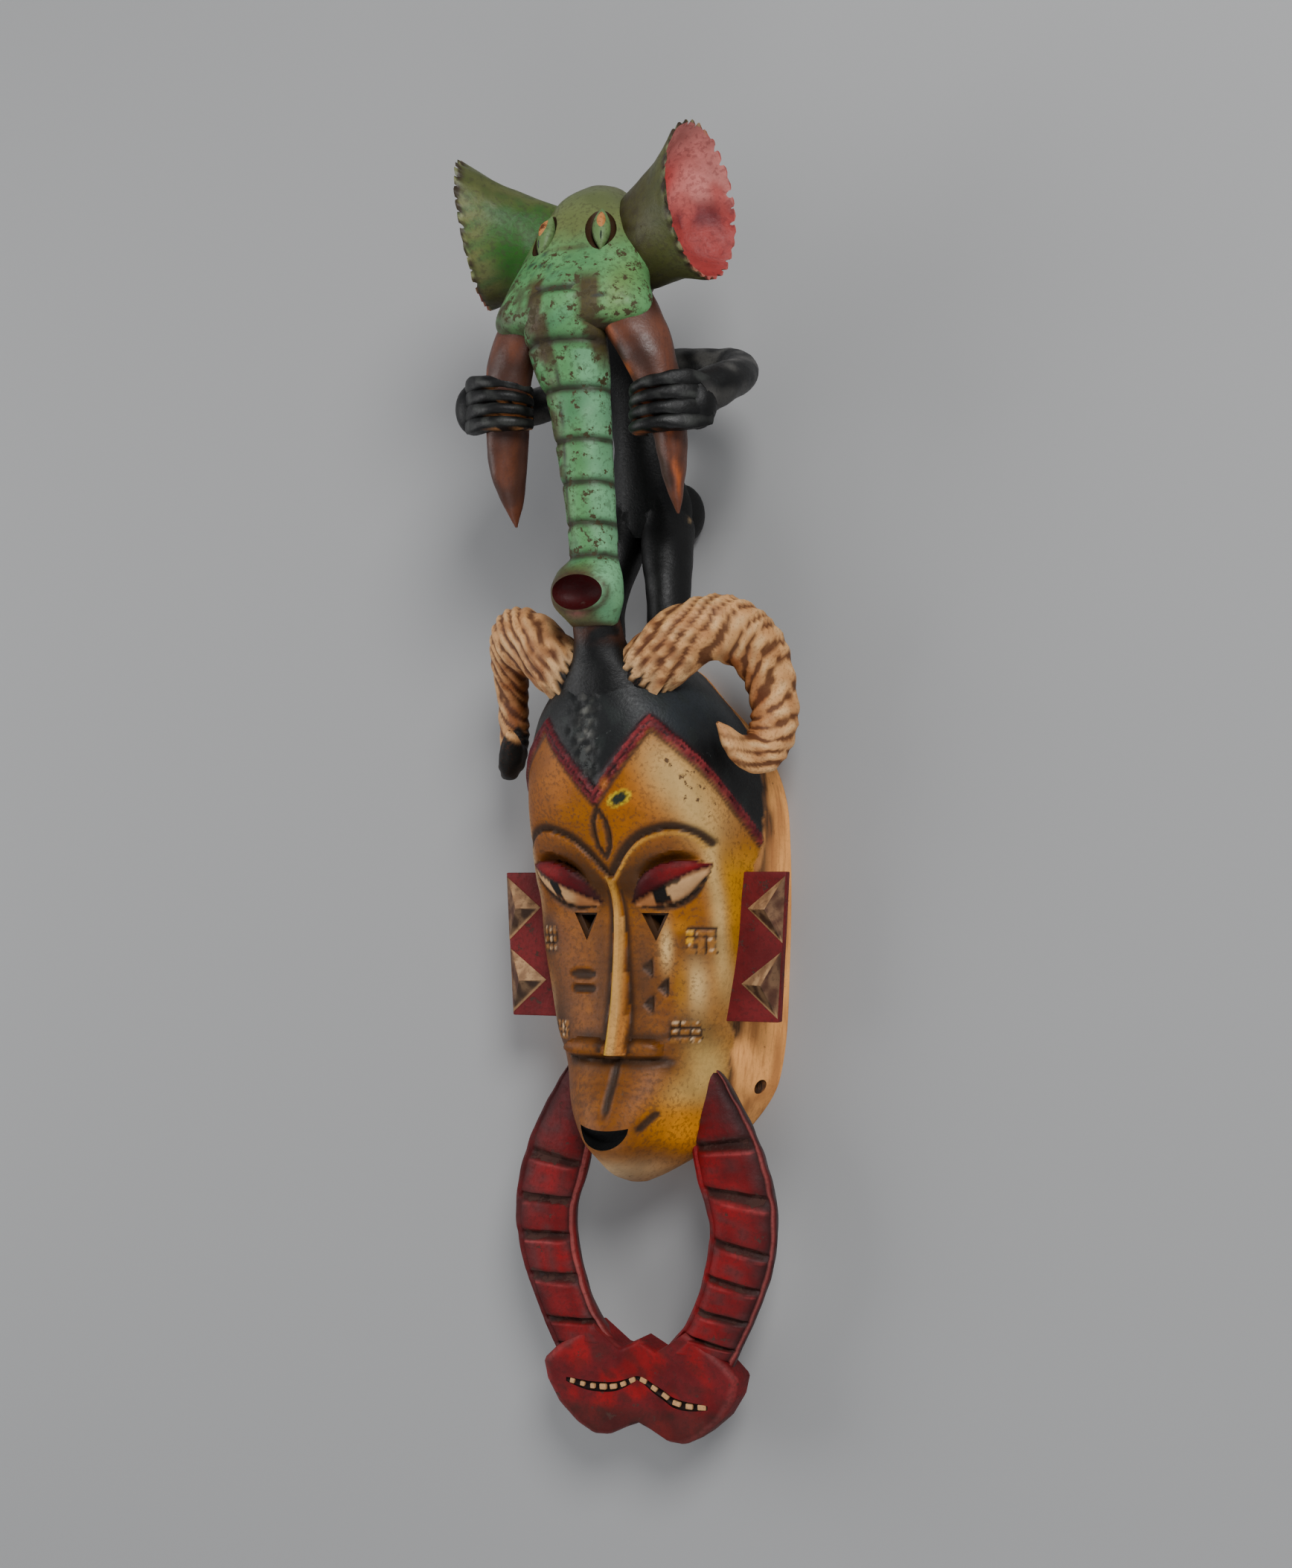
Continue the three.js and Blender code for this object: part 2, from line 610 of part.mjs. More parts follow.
// Trunk: cut across the front by grooves, ending in a bulb with an open mouth
function trunk() {
  const stations = [
    [97, 0, 108, 12, 12], [108, 0, 116, 19.5, 17], [118, 0, 118, 21, 18], [127, 0, 115, 18.5, 16],
    [135, 0, 110, 14.5, 14],
    [152, 0, 111.5, 14, 14], [183, 0, 118, 15.5, 14], [222, -1.5, 125.5, 18.5, 15],
    [243, -2.5, 134, 23, 15.5], [262, -2.5, 142, 23.5, 18], [279, -1, 140.5, 21.5, 19],
    [292, 0, 133, 15, 17],
  ];
  const levels = [97, 102, 108, 118, 127, 265, 279, 292];
  for (const y of TRUNK_GROOVES) levels.push(y - 2.4, y, y + 2.4);
  levels.sort((a, b) => a - b);
  const cut = (y, angle) => (TRUNK_GROOVES.includes(y) && sin(angle) > 0.2 ? 0.89 : 1);
  return column(stations, levels, 10, cut);
}

const trunkMouth = () => egg([16, 10, 14], [0, 114, 134], [0, 0, 0], [10, 6]);

// A thick post from the hair cap up to the trunk's end
function trunkFoot() {
  return column([[50, 0, 93, 32, 17], [70, 0, 96, 24, 16], [84, 0, 99, 16, 16], [104, 0, 107, 13, 13]], 4, 8);
}

// Hole through each side wall near the jaw, for the string that ties the mask on
function tieHoles() {
  const bore = new THREE.CylinderGeometry(4.2, 4.2, 60, 8);
  return joined(pair((side) => solid(bore.clone().rotateZ(PI / 2).translate(side * 66, -165, 13))));
}

function carve() {
  const eyePairs = elephantEyes();
  const face = faceBody(FACE_ROWS, FACE_COLUMNS).subtract(sockets()).add(hairBand()).add(eyes()).add(nose())
    .subtract(brows()).subtract(mouthCuts());
  const ring = snakes().add(snakeHeads().subtract(snakeMouths()));
  const elephant = joined([elephantHead(), trunkFoot(), trunk(), ...elephantEars()])
    .subtract(joined(eyePairs.map((eye) => eye.cut))).subtract(trunkMouth())
    .add(joined(eyePairs.map((eye) => eye.ball)));
  const block = joined([face, maskEars(), ring, horns(), figure(), elephant, tusks(), arms(), hands()]);
  return block.subtract(hollow()).subtract(eyeSlits()).subtract(tieHoles()).trimByPlane([0, 0, 1], 0);
}

function threeGeometry(body) {
  const { vertProperties, triVerts, numProp } = body.getMesh();
  const geometry = new THREE.BufferGeometry();
  const positions = new Float32Array((vertProperties.length / numProp) * 3);
  for (let i = 0; i < positions.length; i += 1) {
    positions[i] = vertProperties[Math.floor(i / 3) * numProp + (i % 3)];
  }
  geometry.setAttribute('position', new THREE.BufferAttribute(positions, 3));
  geometry.setIndex(new THREE.BufferAttribute(new Uint32Array(triVerts), 1));
  geometry.computeVertexNormals();
  return geometry;
}

const paintedWood = new THREE.MeshStandardMaterial({ color: 0x9a6424, roughness: 0.55, metalness: 0 });
const mask = new THREE.Mesh(threeGeometry(carve()), paintedWood);
mask.name = 'mask';

const model = new THREE.Group();
model.add(mask);

export default model;
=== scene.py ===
import math
from types import SimpleNamespace

import bpy
import numpy as np
from mathutils import Matrix, Vector


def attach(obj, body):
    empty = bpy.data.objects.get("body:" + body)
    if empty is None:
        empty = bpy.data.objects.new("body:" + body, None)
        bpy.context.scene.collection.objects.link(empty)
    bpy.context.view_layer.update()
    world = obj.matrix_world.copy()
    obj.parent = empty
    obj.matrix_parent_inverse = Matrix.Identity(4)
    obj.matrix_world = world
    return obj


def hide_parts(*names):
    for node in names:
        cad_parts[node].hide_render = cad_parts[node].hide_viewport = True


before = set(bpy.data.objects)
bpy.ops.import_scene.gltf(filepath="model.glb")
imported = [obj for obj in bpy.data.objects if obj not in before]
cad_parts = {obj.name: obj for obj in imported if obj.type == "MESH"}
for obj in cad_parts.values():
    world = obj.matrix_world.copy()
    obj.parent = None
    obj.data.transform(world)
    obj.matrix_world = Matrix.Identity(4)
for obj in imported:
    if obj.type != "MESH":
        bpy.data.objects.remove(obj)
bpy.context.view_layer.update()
bpy.ops.object.select_all(action="DESELECT")

MM = 0.001
CHIN, CROWN = -218.0, 88.0
CREASE = 38  # degrees between faces past which an edge stays sharp


# Numbers and curves

def light(swatch):
    """Colour of a paint swatch, given from 0 to 255, as the shaders count light."""
    c = np.array(swatch) / 255
    return np.where(c <= 0.04045, c / 12.92, ((c + 0.055) / 1.055) ** 2.4)


def fade(value, start, end):
    """Smooth step from 0 at start to 1 at end."""
    t = np.clip((np.asarray(value, float) - start) / (end - start), 0, 1)
    return t * t * (3 - 2 * t)


def spot(x, y, cx, cy, rx, ry, turn=0.0):
    """Soft round patch: 1 in its middle, falling to nothing about two radii out."""
    dx, dy = x - cx, y - cy
    c, s = math.cos(turn), math.sin(turn)
    return np.exp(-((dx * c + dy * s) / rx) ** 2 - ((dy * c - dx * s) / ry) ** 2)


def drift(points, size, seed):
    """Slow wavering between about -1 and 1, with crests about size apart."""
    draw = np.random.default_rng(seed)
    ways = draw.normal(size=(9, 3))
    ways *= 2 * np.pi / size * draw.uniform(0.7, 1.5, (9, 1)) / np.linalg.norm(ways, axis=1, keepdims=True)
    return np.clip(np.sin(points @ ways.T + draw.uniform(0, 6.28, 9)).mean(axis=1) * 2.2, -1, 1)


def profile(pairs):
    """Smooth curve through [position, value] pairs."""
    x, y = np.array(pairs, float).T
    last = len(x) - 1
    before = np.maximum(np.arange(last + 1) - 1, 0)
    after = np.minimum(np.arange(last + 1) + 1, last)
    slope = (y[after] - y[before]) / (x[after] - x[before])

    def value(at):
        at = np.asarray(at, float)
        i = np.clip(np.searchsorted(x, at) - 1, 0, last - 1)
        width, rise = x[i + 1] - x[i], y[i + 1] - y[i]
        t = np.clip((at - x[i]) / width, 0, 1)
        a, b = slope[i] * width - rise, rise - slope[i + 1] * width
        return y[i] + rise * t + t * (1 - t) * (a * (1 - t) + b * t)

    return value


def spline(points):
    """Two ways along a smooth curve through points: by its knots, and evenly by its length."""
    p = np.array(points, float)
    p = np.vstack([2 * p[0] - p[1], p, 2 * p[-1] - p[-2]])
    gap = np.sqrt(np.maximum(np.linalg.norm(np.diff(p, axis=0), axis=1), 1e-8))

    def knots(t):
        s = np.clip(np.asarray(t, float) * (len(p) - 3), 0, len(p) - 3 - 1e-9)
        i = s.astype(int)
        w = (s - i)[..., None]
        a, b, c, d = (p[i + k] for k in range(4))
        g, h, k = (gap[i + n][..., None] for n in range(3))
        enter = ((b - a) / g - (c - a) / (g + h) + (c - b) / h) * h
        leave = ((c - b) / h - (d - b) / (h + k) + (d - c) / k) * h
        bend = 3 * (c - b) - 2 * enter - leave
        return b + enter * w + bend * w ** 2 + (2 * (b - c) + enter + leave) * w ** 3

    steps = np.linspace(0, 1, 401)
    run = np.r_[0, np.cumsum(np.linalg.norm(np.diff(knots(steps), axis=0), axis=1))]
    return knots, lambda u: knots(np.interp(np.asarray(u, float) * run[-1], run, steps))


def to_line(x, y, line, count=90):
    """Distance of each (x, y) from a smooth line, share along it and side (1 left of its way)."""
    spots = spline([(px, py, 0) for px, py in line])[1](np.linspace(0, 1, count))[:, :2]
    way = np.gradient(spots, axis=0)
    near = np.empty(x.shape, int)
    for start in range(0, len(x), 4000):
        part = slice(start, start + 4000)
        near[part] = ((x[part, None] - spots[:, 0]) ** 2 + (y[part, None] - spots[:, 1]) ** 2).argmin(axis=1)
    dx, dy = x - spots[near, 0], y - spots[near, 1]
    side = np.sign(way[near, 0] * dy - way[near, 1] * dx)
    return np.hypot(dx, dy), near / (count - 1), side


# Finishes

class Wire:
    """A value on its way through a finish. Arithmetic on it adds Math nodes."""

    def __init__(self, finish, socket):
        self.finish, self.socket = finish, socket

    def maths(self, operation, *values):
        return self.finish.node("ShaderNodeMath", {"operation": operation}, *values)

    def __add__(self, other):
        return self.maths("ADD", self, other)

    def __radd__(self, other):
        return self.maths("ADD", other, self)

    def __sub__(self, other):
        return self.maths("SUBTRACT", self, other)

    def __rsub__(self, other):
        return self.maths("SUBTRACT", other, self)

    def __mul__(self, other):
        return self.maths("MULTIPLY", self, other)

    def __rmul__(self, other):
        return self.maths("MULTIPLY", other, self)

    def __pow__(self, other):
        return self.maths("POWER", self, other)


class Finish:
    """One material, built node by node."""

    def __init__(self, name):
        self.material = bpy.data.materials.new(name)
        self.material.use_nodes = True
        self.tree = self.material.node_tree
        self.shader = self.tree.nodes["Principled BSDF"]
        self.place = self.node("ShaderNodeTexCoord", out="Object")

    def node(self, kind, settings=None, *inputs, out=0, **named):
        """Adds a node with its settings, then its inputs in order or by name."""
        made = self.tree.nodes.new(kind)
        for key, value in (settings or {}).items():
            if key == "stops":
                ramp = made.color_ramp
                while len(ramp.elements) < len(value):
                    ramp.elements.new(0.5)
                for element, (position, colour) in zip(ramp.elements, value):
                    element.position = position
                    element.color = (*colour, 1)
            else:
                setattr(made, key, value)
        pairs = [*enumerate(inputs), *((key.replace("_", " "), value) for key, value in named.items())]
        for key, value in pairs:
            if isinstance(value, Wire):
                self.tree.links.new(value.socket, made.inputs[key])
            elif value is not None:
                made.inputs[key].default_value = value
        return Wire(self, made.outputs[out])

    def brushed(self, label, out="Color"):
        """What was painted on the piece at every corner."""
        return self.node("ShaderNodeAttribute", {"attribute_name": label}, out=out)

    def noise(self, size, detail=4.0, rough=0.55, stretch=(1, 1, 1), shift=0.0):
        """Cloudy pattern between 0 and 1 with lumps about size mm across."""
        where = self.node("ShaderNodeMapping", None, self.place, (shift, shift, shift), (0, 0, 0), stretch)
        return self.node("ShaderNodeTexNoise", None, None, None, 1000 / size, detail, rough, Vector=where)

    def step(self, value, start, end):
        """0 below start, 1 above end, smooth between."""
        settings = {"interpolation_type": "SMOOTHSTEP"}
        return self.node("ShaderNodeMapRange", settings, value, start, end, 0.0, 1.0)

    def mix(self, share, a, b):
        """Colour a turning to colour b as share goes from 0 to 1."""
        settings = {"data_type": "RGBA"}
        a, b = (c if isinstance(c, Wire) else (*c, 1) for c in (a, b))
        made = self.node("ShaderNodeMix", settings)
        node = made.socket.node
        for socket, value in ((node.inputs["Factor"], share), (node.inputs[6], a), (node.inputs[7], b)):
            if isinstance(value, Wire):
                self.tree.links.new(value.socket, socket)
            else:
                socket.default_value = value
        return Wire(self, node.outputs[2])

    def feed(self, name, value):
        socket = self.shader.inputs[name]
        if isinstance(value, Wire):
            self.tree.links.new(value.socket, socket)
        else:
            socket.default_value = value


def worn_paint(name, under, speck, specks=0.35, speck_size=1.6, chip_size=7.0, mottle=0.3,
               rough=0.42, gloss=0.35, relief=0.25, grain=None):
    """Hand-brushed paint on carved wood: mottled, speckled, chipped down to what is under it.
    The piece's own "paint" is the colour; "wear" holds chips, dirt and painted shade, and freedom from
    specks."""
    f = Finish(name)
    under, speck = light(under), light(speck)
    paint = f.brushed("paint")
    wear = f.brushed("wear", "Vector")
    chips = f.node("ShaderNodeSeparateXYZ", None, wear)
    grime_and_shade, calm = (Wire(f, chips.socket.node.outputs[k]) for k in (1, 2))
    slow = f.noise(26, 5, 0.6)
    fine = f.noise(speck_size, 3, 0.6, shift=3.1)
    flake = f.noise(chip_size, 6, 0.68, shift=1.7)
    speckled = f.step(fine + 0.35 * slow, 0.74 - 0.16 * specks, 0.82) * specks * (1 - calm)
    colour = f.mix(speckled, paint, speck)
    shade = 1 - mottle * (1.0 - f.step(slow, 0.3, 0.66))
    colour = f.node("ShaderNodeVectorMath", {"operation": "SCALE"}, colour, Scale=shade)
    if grain:
        streak = f.noise(2.4, 4, 0.6, (1, 0.09, 1), 0.8)
        colour = f.mix(f.step(streak, 0.45, 0.7) * grain[0], colour, light(grain[1]))
    worn = f.step(flake + 0.55 * chips, 0.72, 0.78)
    colour = f.mix(worn, colour, under)
    # dirt and painted shade pull the colour towards the speck colour and dull it
    dirt_and_shade = f.step(grime_and_shade + 0.35 * (flake - 0.5), 0.12, 0.95)
    colour = f.mix(dirt_and_shade, colour, speck)
    f.feed("Base Color", colour)
    f.feed("Roughness", f.step(fine + slow, 0.2, 1.7) * 0.3 + (rough - 0.1) + 0.18 * worn + 0.35 * dirt_and_shade)
    f.feed("Specular IOR Level", gloss)
    height = 0.6 * fine + 0.9 * slow - 0.8 * worn
    bump = f.node("ShaderNodeBump", None, relief, 0.0012, Height=height)
    f.feed("Normal", bump)
    return f.material


DARK = (26, 16, 11)
BLACK = (9, 9, 8)
OCHRE = (162, 94, 4)
CRIMSON = (118, 16, 20)
RAW = (255, 178, 100)
TAN = (190, 150, 108)
TURQUOISE = (92, 148, 92)
OLIVE = (104, 108, 60)
RUSSET = (100, 54, 34)
ORANGE = (196, 98, 40)
HORN = (216, 160, 104)

face_paint = worn_paint("ochre face paint", (92, 66, 40), (74, 48, 26), specks=0.5, speck_size=2.2,
                        chip_size=9, mottle=0.26, rough=0.44, gloss=0.25)
black_paint = worn_paint("black paint", (58, 60, 58), (8, 8, 9), specks=0.3, chip_size=8, mottle=0.4,
                         rough=0.42, gloss=0.3, relief=0.3)
red_paint = worn_paint("crimson paint", (70, 44, 38), (52, 26, 24), specks=0.3, speck_size=2.4,
                       chip_size=8, mottle=0.42, rough=0.5, gloss=0.2, relief=0.35)
raw_wood = worn_paint("raw wood", (150, 96, 54), (60, 42, 30), specks=0.12, mottle=0.18, rough=0.6,
                      gloss=0.25, grain=(0.5, (166, 104, 58)))
horn_paint = worn_paint("horn paint", (84, 46, 24), (80, 42, 22), specks=0.3, speck_size=1.8,
                        chip_size=5, mottle=0.2, rough=0.5, gloss=0.2, relief=0.3)
green_paint = worn_paint("turquoise paint", (62, 54, 30), (58, 50, 38), specks=0.4, speck_size=2.6,
                         chip_size=6, mottle=0.28, rough=0.44, gloss=0.3, relief=0.3)
tusk_paint = worn_paint("russet paint", (60, 32, 24), (58, 30, 22), specks=0.2, mottle=0.4, rough=0.4,
                        gloss=0.4, grain=(0.35, (62, 34, 28)))
pink_paint = worn_paint("pink paint", (120, 92, 84), (96, 34, 38), specks=0.35, speck_size=3,
                        chip_size=10, mottle=0.3, rough=0.5, gloss=0.3, relief=0.5)


# Building in the solid

class Part:
    """Points in mm, the faces between them and what is brushed on at every point."""

    def __init__(self, points, faces, finish, colour):
        self.points, self.faces, self.finishes = points, faces, [finish]
        self.stuff = None
        self.paint = np.tile(light(colour), (len(points), 1))
        self.wear = np.zeros((len(points), 3))

    def cloud(self, size, seed, low, high):
        """Soft patches over the part, from 0 to 1, about size mm apart."""
        return fade(drift(self.points, size, seed), low, high)

    def brush(self, colour, share=1.0):
        share = np.broadcast_to(np.clip(share, 0, 1), len(self.points))[:, None]
        self.paint = self.paint * (1 - share) + light(colour) * share
        return self

    def chip(self, share):
        self.wear[:, 0] = np.maximum(self.wear[:, 0], share)
        return self

    # dirt and painted shade, kept in the second channel of the wear
    def grime_and_shade(self, share):
        self.wear[:, 1] = np.maximum(self.wear[:, 1], share)
        return self

    def calm(self, share):
        self.wear[:, 2] = np.maximum(self.wear[:, 2], share)
        return self

    def rough_out(self, size, depth, seed):
        """Leaves the unevenness of hand carving on the surface."""
        for axis in range(3):
            self.points[:, axis] += depth * drift(self.points, size, seed + axis)
        self.points[:, 2] = np.maximum(self.points[:, 2], 0)
        return self


def loft(rings, finish, colour):
    """A closed body from equal rings of points, each end closed by a fan round its middle."""
    count, around = rings.shape[:2]
    points = np.vstack([rings.reshape(-1, 3), rings[0].mean(axis=0), rings[-1].mean(axis=0)])
    a = np.arange((count - 1) * around).reshape(count - 1, around)
    b = np.roll(a, -1, axis=1)
    sides = np.stack([a, b, b + around, a + around], axis=-1).reshape(-1, 4)
    first, after = np.arange(around), np.roll(np.arange(around), -1)
    last = (count - 1) * around
    top = len(points) - 1
    ends = np.vstack([
        np.stack([np.full(around, top - 1), after, first], axis=1),
        np.stack([np.full(around, top), first + last, after + last], axis=1),
    ])
    shifted = points - points.mean(axis=0)
    p, q, r, s = (shifted[sides[:, k]] for k in range(4))
    i, j, k = (shifted[ends[:, k]] for k in range(3))
    volume = (p * np.cross(q, r)).sum() + (p * np.cross(r, s)).sum() + (i * np.cross(j, k)).sum()
    if volume < 0:
        sides, ends = sides[:, ::-1], ends[:, ::-1]
    return Part(points, sides.tolist() + ends.tolist(), finish, colour)


def at_points(values, rings):
    """Values of the rings' points as one row, with nothing at the middles of the two ends."""
    return np.r_[np.broadcast_to(values, rings.shape[:2]).ravel(), 0, 0]


def set_out(mesh, label, values):
    """Keeps a value for every corner of the mesh, from the values at its points."""
    corners = np.empty(len(mesh.loops), np.int32)
    mesh.loops.foreach_get("vertex_index", corners)
    layer = mesh.attributes.new(label, "FLOAT_COLOR", "CORNER")
    full = np.ones((len(corners), 4), np.float32)
    full[:, :3] = values[corners]
    layer.data.foreach_set("color", full.ravel())


def body(name, part):
    mesh = bpy.data.meshes.new(name)
    mesh.from_pydata((part.points * MM).tolist(), [], part.faces)
    for finish in part.finishes:
        mesh.materials.append(finish)
    if part.stuff is not None:
        mesh.polygons.foreach_set("material_index", part.stuff)
    set_out(mesh, "paint", part.paint)
    set_out(mesh, "wear", part.wear)
    made = bpy.data.objects.new(name, mesh)
    bpy.context.collection.objects.link(made)
    return made


def dress(made, finish, colour, wear=(0.0, 0.0, 0.0)):
    """One finish and one colour for a body made from a primitive."""
    count = len(made.data.vertices)
    made.data.materials.clear()
    made.data.materials.append(finish)
    set_out(made.data, "paint", np.tile(light(colour), (count, 1)))
    set_out(made.data, "wear", np.tile(wear, (count, 1)))
    return made


def work(block, tool, how="UNION"):
    """Joins a tool to the block or cuts it away, and uses the tool up."""
    modifier = block.modifiers.new("carving", "BOOLEAN")
    modifier.operation, modifier.solver, modifier.object = how, "MANIFOLD", tool
    modifier.material_mode = "TRANSFER"
    bpy.context.view_layer.objects.active = block
    bpy.ops.object.modifier_apply(modifier=modifier.name)
    bpy.data.objects.remove(tool)
    return block


def joined(bodies):
    first, *others = bodies
    for other in others:
        work(first, other)
    return first


def sweep(points, radii, rings, around, finish, colour):
    """A round body drawn along a curve, with its radius given at shares of the way."""
    even = spline(points)[1]
    shares = np.linspace(0, 1, rings + 1)
    centres = even(shares)
    way = np.gradient(centres, axis=0)
    way /= np.linalg.norm(way, axis=1, keepdims=True)
    out = np.cross(way[0], [0.3, 1, 0.2])
    angle = np.linspace(0, 2 * np.pi, around, endpoint=False)[:, None]
    radius = profile(radii)(shares)
    made = []
    for centre, ahead, size in zip(centres, way, radius):
        out = out - ahead * (out @ ahead)
        out /= np.linalg.norm(out)
        across = np.cross(ahead, out)
        made.append(centre + size * (np.cos(angle) * out + np.sin(angle) * across))
    return loft(np.array(made), finish, colour)


def column(stations, levels, around, finish, colour, ripple=None, turn=0.0):
    """A body of level oval rings along Y; stations are [y, x, z, half-width, half-depth]."""
    y = np.asarray(levels, float)[:, None]
    x, z, wide, deep = (profile([(s[0], s[k]) for s in stations])(y) for k in (1, 2, 3, 4))
    angle = np.linspace(0, 2 * np.pi, around, endpoint=False)[None, :]
    carved = ripple(y, angle) if ripple else 1.0
    across, out = wide * carved * np.cos(angle), deep * carved * np.sin(angle)
    c, s = math.cos(turn), math.sin(turn)
    rings = np.stack(np.broadcast_arrays(x + across * c - out * s, y, z + across * s + out * c), axis=-1)
    return loft(rings, finish, colour)


def turned(turn, size=4):
    """Turn about X, then Y, then Z of the turned frame, in radians."""
    about = (Matrix.Rotation(angle, size, axis) for angle, axis in zip(turn, "XYZ"))
    return next(about) @ next(about) @ next(about)


def put_at(place):
    return Matrix.Translation(Vector(place) * MM)


def settled(made, radii, place, turn):
    """Stretches a body of radius 1 to its radii, turns it and puts it in its place."""
    made.data.transform(put_at(place) @ turned(turn) @ Matrix.Diagonal((*(Vector(radii) * MM), 1)))
    return made


def egg(name, radii, place, turn, finish, colour, wear=(0.0, 0.0, 0.0), segments=32):
    bpy.ops.mesh.primitive_uv_sphere_add(segments=segments, ring_count=segments // 2, radius=1)
    made = bpy.context.object
    made.name = name
    return dress(settled(made, radii, place, turn), finish, colour, wear)


def lens(name, radii, place, turn, finish, colour, wear=(0.0, 0.0, 0.0)):
    """An egg drawn to a point at both ends of its second axis."""
    bpy.ops.mesh.primitive_uv_sphere_add(segments=32, ring_count=20, radius=1)
    made = bpy.context.object
    made.name = name
    for vertex in made.data.vertices:
        x, y, z = vertex.co
        narrow = max(math.sqrt(max(1 - z * z, 0)), 0.02)
        vertex.co = (x * narrow, z, -y * narrow)
    return dress(settled(made, radii, place, turn), finish, colour, wear)


def prism(name, sides, radius, depth, finish, colour, wear=(0.0, 0.0, 0.0)):
    """A primitive straight prism of that many sides, standing along Z round the origin, in mm."""
    bpy.ops.mesh.primitive_cylinder_add(vertices=sides, radius=radius * MM, depth=depth * MM)
    made = bpy.context.object
    made.name = name
    return dress(made, finish, colour, wear)


# Face

back_width = profile([
    (-218, 5), (-207, 14), (-200, 34), (-189, 51), (-161, 68.5), (-95, 75), (-9, 75),
    (20, 68), (45, 52), (63, 35), (80, 20), (88, 6)])
middle_width = profile([
    (-218, 6), (-213, 17), (-203, 31), (-180, 41.5), (-153, 49.5), (-125, 56), (-80, 63),
    (-39, 65), (0, 64), (30, 61), (47, 57), (60, 49), (72, 37), (84, 20), (88, 10)])
front_width = profile([
    (-218, 4), (-213, 9), (-202, 14), (-189, 23.6), (-176, 29.7), (-147, 38), (-130, 46),
    (-104, 52), (-73, 57), (-36, 56), (-8, 54), (20, 51), (47, 45), (60, 39), (72, 31), (88, 8)])
front_height = profile([
    (-218, 56), (-213, 73), (-205, 88), (-194, 99), (-186, 98), (-170, 93), (-150, 83), (-120, 76),
    (-95, 75), (-66, 76), (-54, 80), (-43, 88), (-18, 100), (1, 108), (30, 113), (60, 111),
    (78, 102), (88, 72)])


def face_rows(heights, shares):
    """Points of the face: a row across it at each height, from the middle line to the rim."""
    rows = []
    for y in heights:
        back = 46 * max(0.0, (-205 - y) / 13) ** 1.3
        front, wide = float(front_height(y)), float(front_width(y))
        shoulder, edge, side = (back + (front - back) * share for share in (0.955, 0.8, 0.5))
        knots, even = spline([
            (-0.55 * wide, y, shoulder), (0, y, front), (0.55 * wide, y, shoulder),
            (wide, y, edge), (float(middle_width(y)), y, side), (float(back_width(y)), y, back)])
        fine = knots(np.linspace(0, 1, 101))
        run = np.r_[0, np.cumsum(np.linalg.norm(np.diff(fine, axis=0), axis=1))]
        start = run[20] / run[-1]
        rows.append(even(start + (1 - start) * shares))
    return np.array(rows)


def mirrored(half):
    """Rows from rim to rim out of rows from the middle line to the rim."""
    left = half[:, :0:-1] * [-1, 1, 1]
    return np.concatenate([left, half], axis=1)


def wavy_max(a, b, soft):
    h = np.clip(0.5 + 0.5 * (a - b) / soft, 0, 1)
    return b + (a - b) * h + soft * h * (1 - h)


def egg_levels(x, y, radii, place, turn):
    """Lower and upper height of an egg shape over each (x, y), and where it has any."""
    spin = np.array(turned(turn, 3))
    form = spin @ np.diag(1 / np.array(radii, float) ** 2) @ spin.T
    dx, dy = x - place[0], y - place[1]
    b = form[0, 2] * dx + form[1, 2] * dy
    c = form[0, 0] * dx ** 2 + 2 * form[0, 1] * dx * dy + form[1, 1] * dy ** 2 - 1
    under = b ** 2 - form[2, 2] * c
    root = np.sqrt(np.maximum(under, 0))
    return place[2] + (-b - root) / form[2, 2], place[2] + (-b + root) / form[2, 2], under > 0


BROW = [(0, -43.3), (6, -36), (12.3, -28.3), (20, -21.8), (27.9, -18), (40.7, -15.6), (51.3, -19.3),
        (58, -27)]
LOZENGE = [(0, -4.5), (3.6, -11), (4.6, -18), (3.6, -25), (0, -31.5)]
EYE_INNER, EYE_OUTER = np.array([9.0, -57.5]), np.array([56.5, -35.5])
HAIR_SHARE = np.array([0.0, 0.228, 0.77])
HAIR_HEIGHT = np.array([1.5, 44.0, -21.0])


def eye_shares(side_x, y):
    """Where (x, y) lies in the eye's almond: share along, height over the corner line, rim reach."""
    span = EYE_OUTER - EYE_INNER
    length = np.hypot(*span)
    way = span / length
    dx, dy = side_x - EYE_INNER[0], y - EYE_INNER[1]
    along = (dx * way[0] + dy * way[1]) / length
    over = dy * way[0] - dx * way[1]
    swell = np.sin(np.pi * np.clip(along, 0, 1)) ** 0.8
    reach = np.where(over > 0, over / (11.3 * swell + 1e-6), -over / (11.5 * swell + 1e-6))
    return along, over, swell, np.where((along > 0) & (along < 1), reach, 9.0)


def cells_of(x, y, corner, size):
    """A block of three by three raised cells: height of the relief and darkness of its cuts."""
    u, v = (x - corner[0]) / size[0], (y - corner[1]) / size[1]
    inside = (u > 0) & (u < 1) & (v > 0) & (v < 1)
    ripple = np.abs(np.sin(3 * np.pi * u) * np.sin(3 * np.pi * v)) ** 0.28
    return np.where(inside, 2.2 * ripple - 1.6, 0.0), np.where(inside, 1 - fade(ripple, 0.55, 0.8), 0.0)


def hair_pecks(x, y):
    """Small cuts scattered down the middle of the hair cap."""
    draw = np.random.default_rng(11)
    pecks = np.zeros(len(x))
    for cx, cy in zip(draw.normal(-5, 5.5, 75), draw.uniform(6, 66, 75)):
        size = draw.uniform(0.9, 1.7), draw.uniform(1.6, 3.4)
        pecks = np.maximum(pecks, spot(x, y, cx, cy, *size, draw.uniform(-0.5, 0.5)))
    return pecks


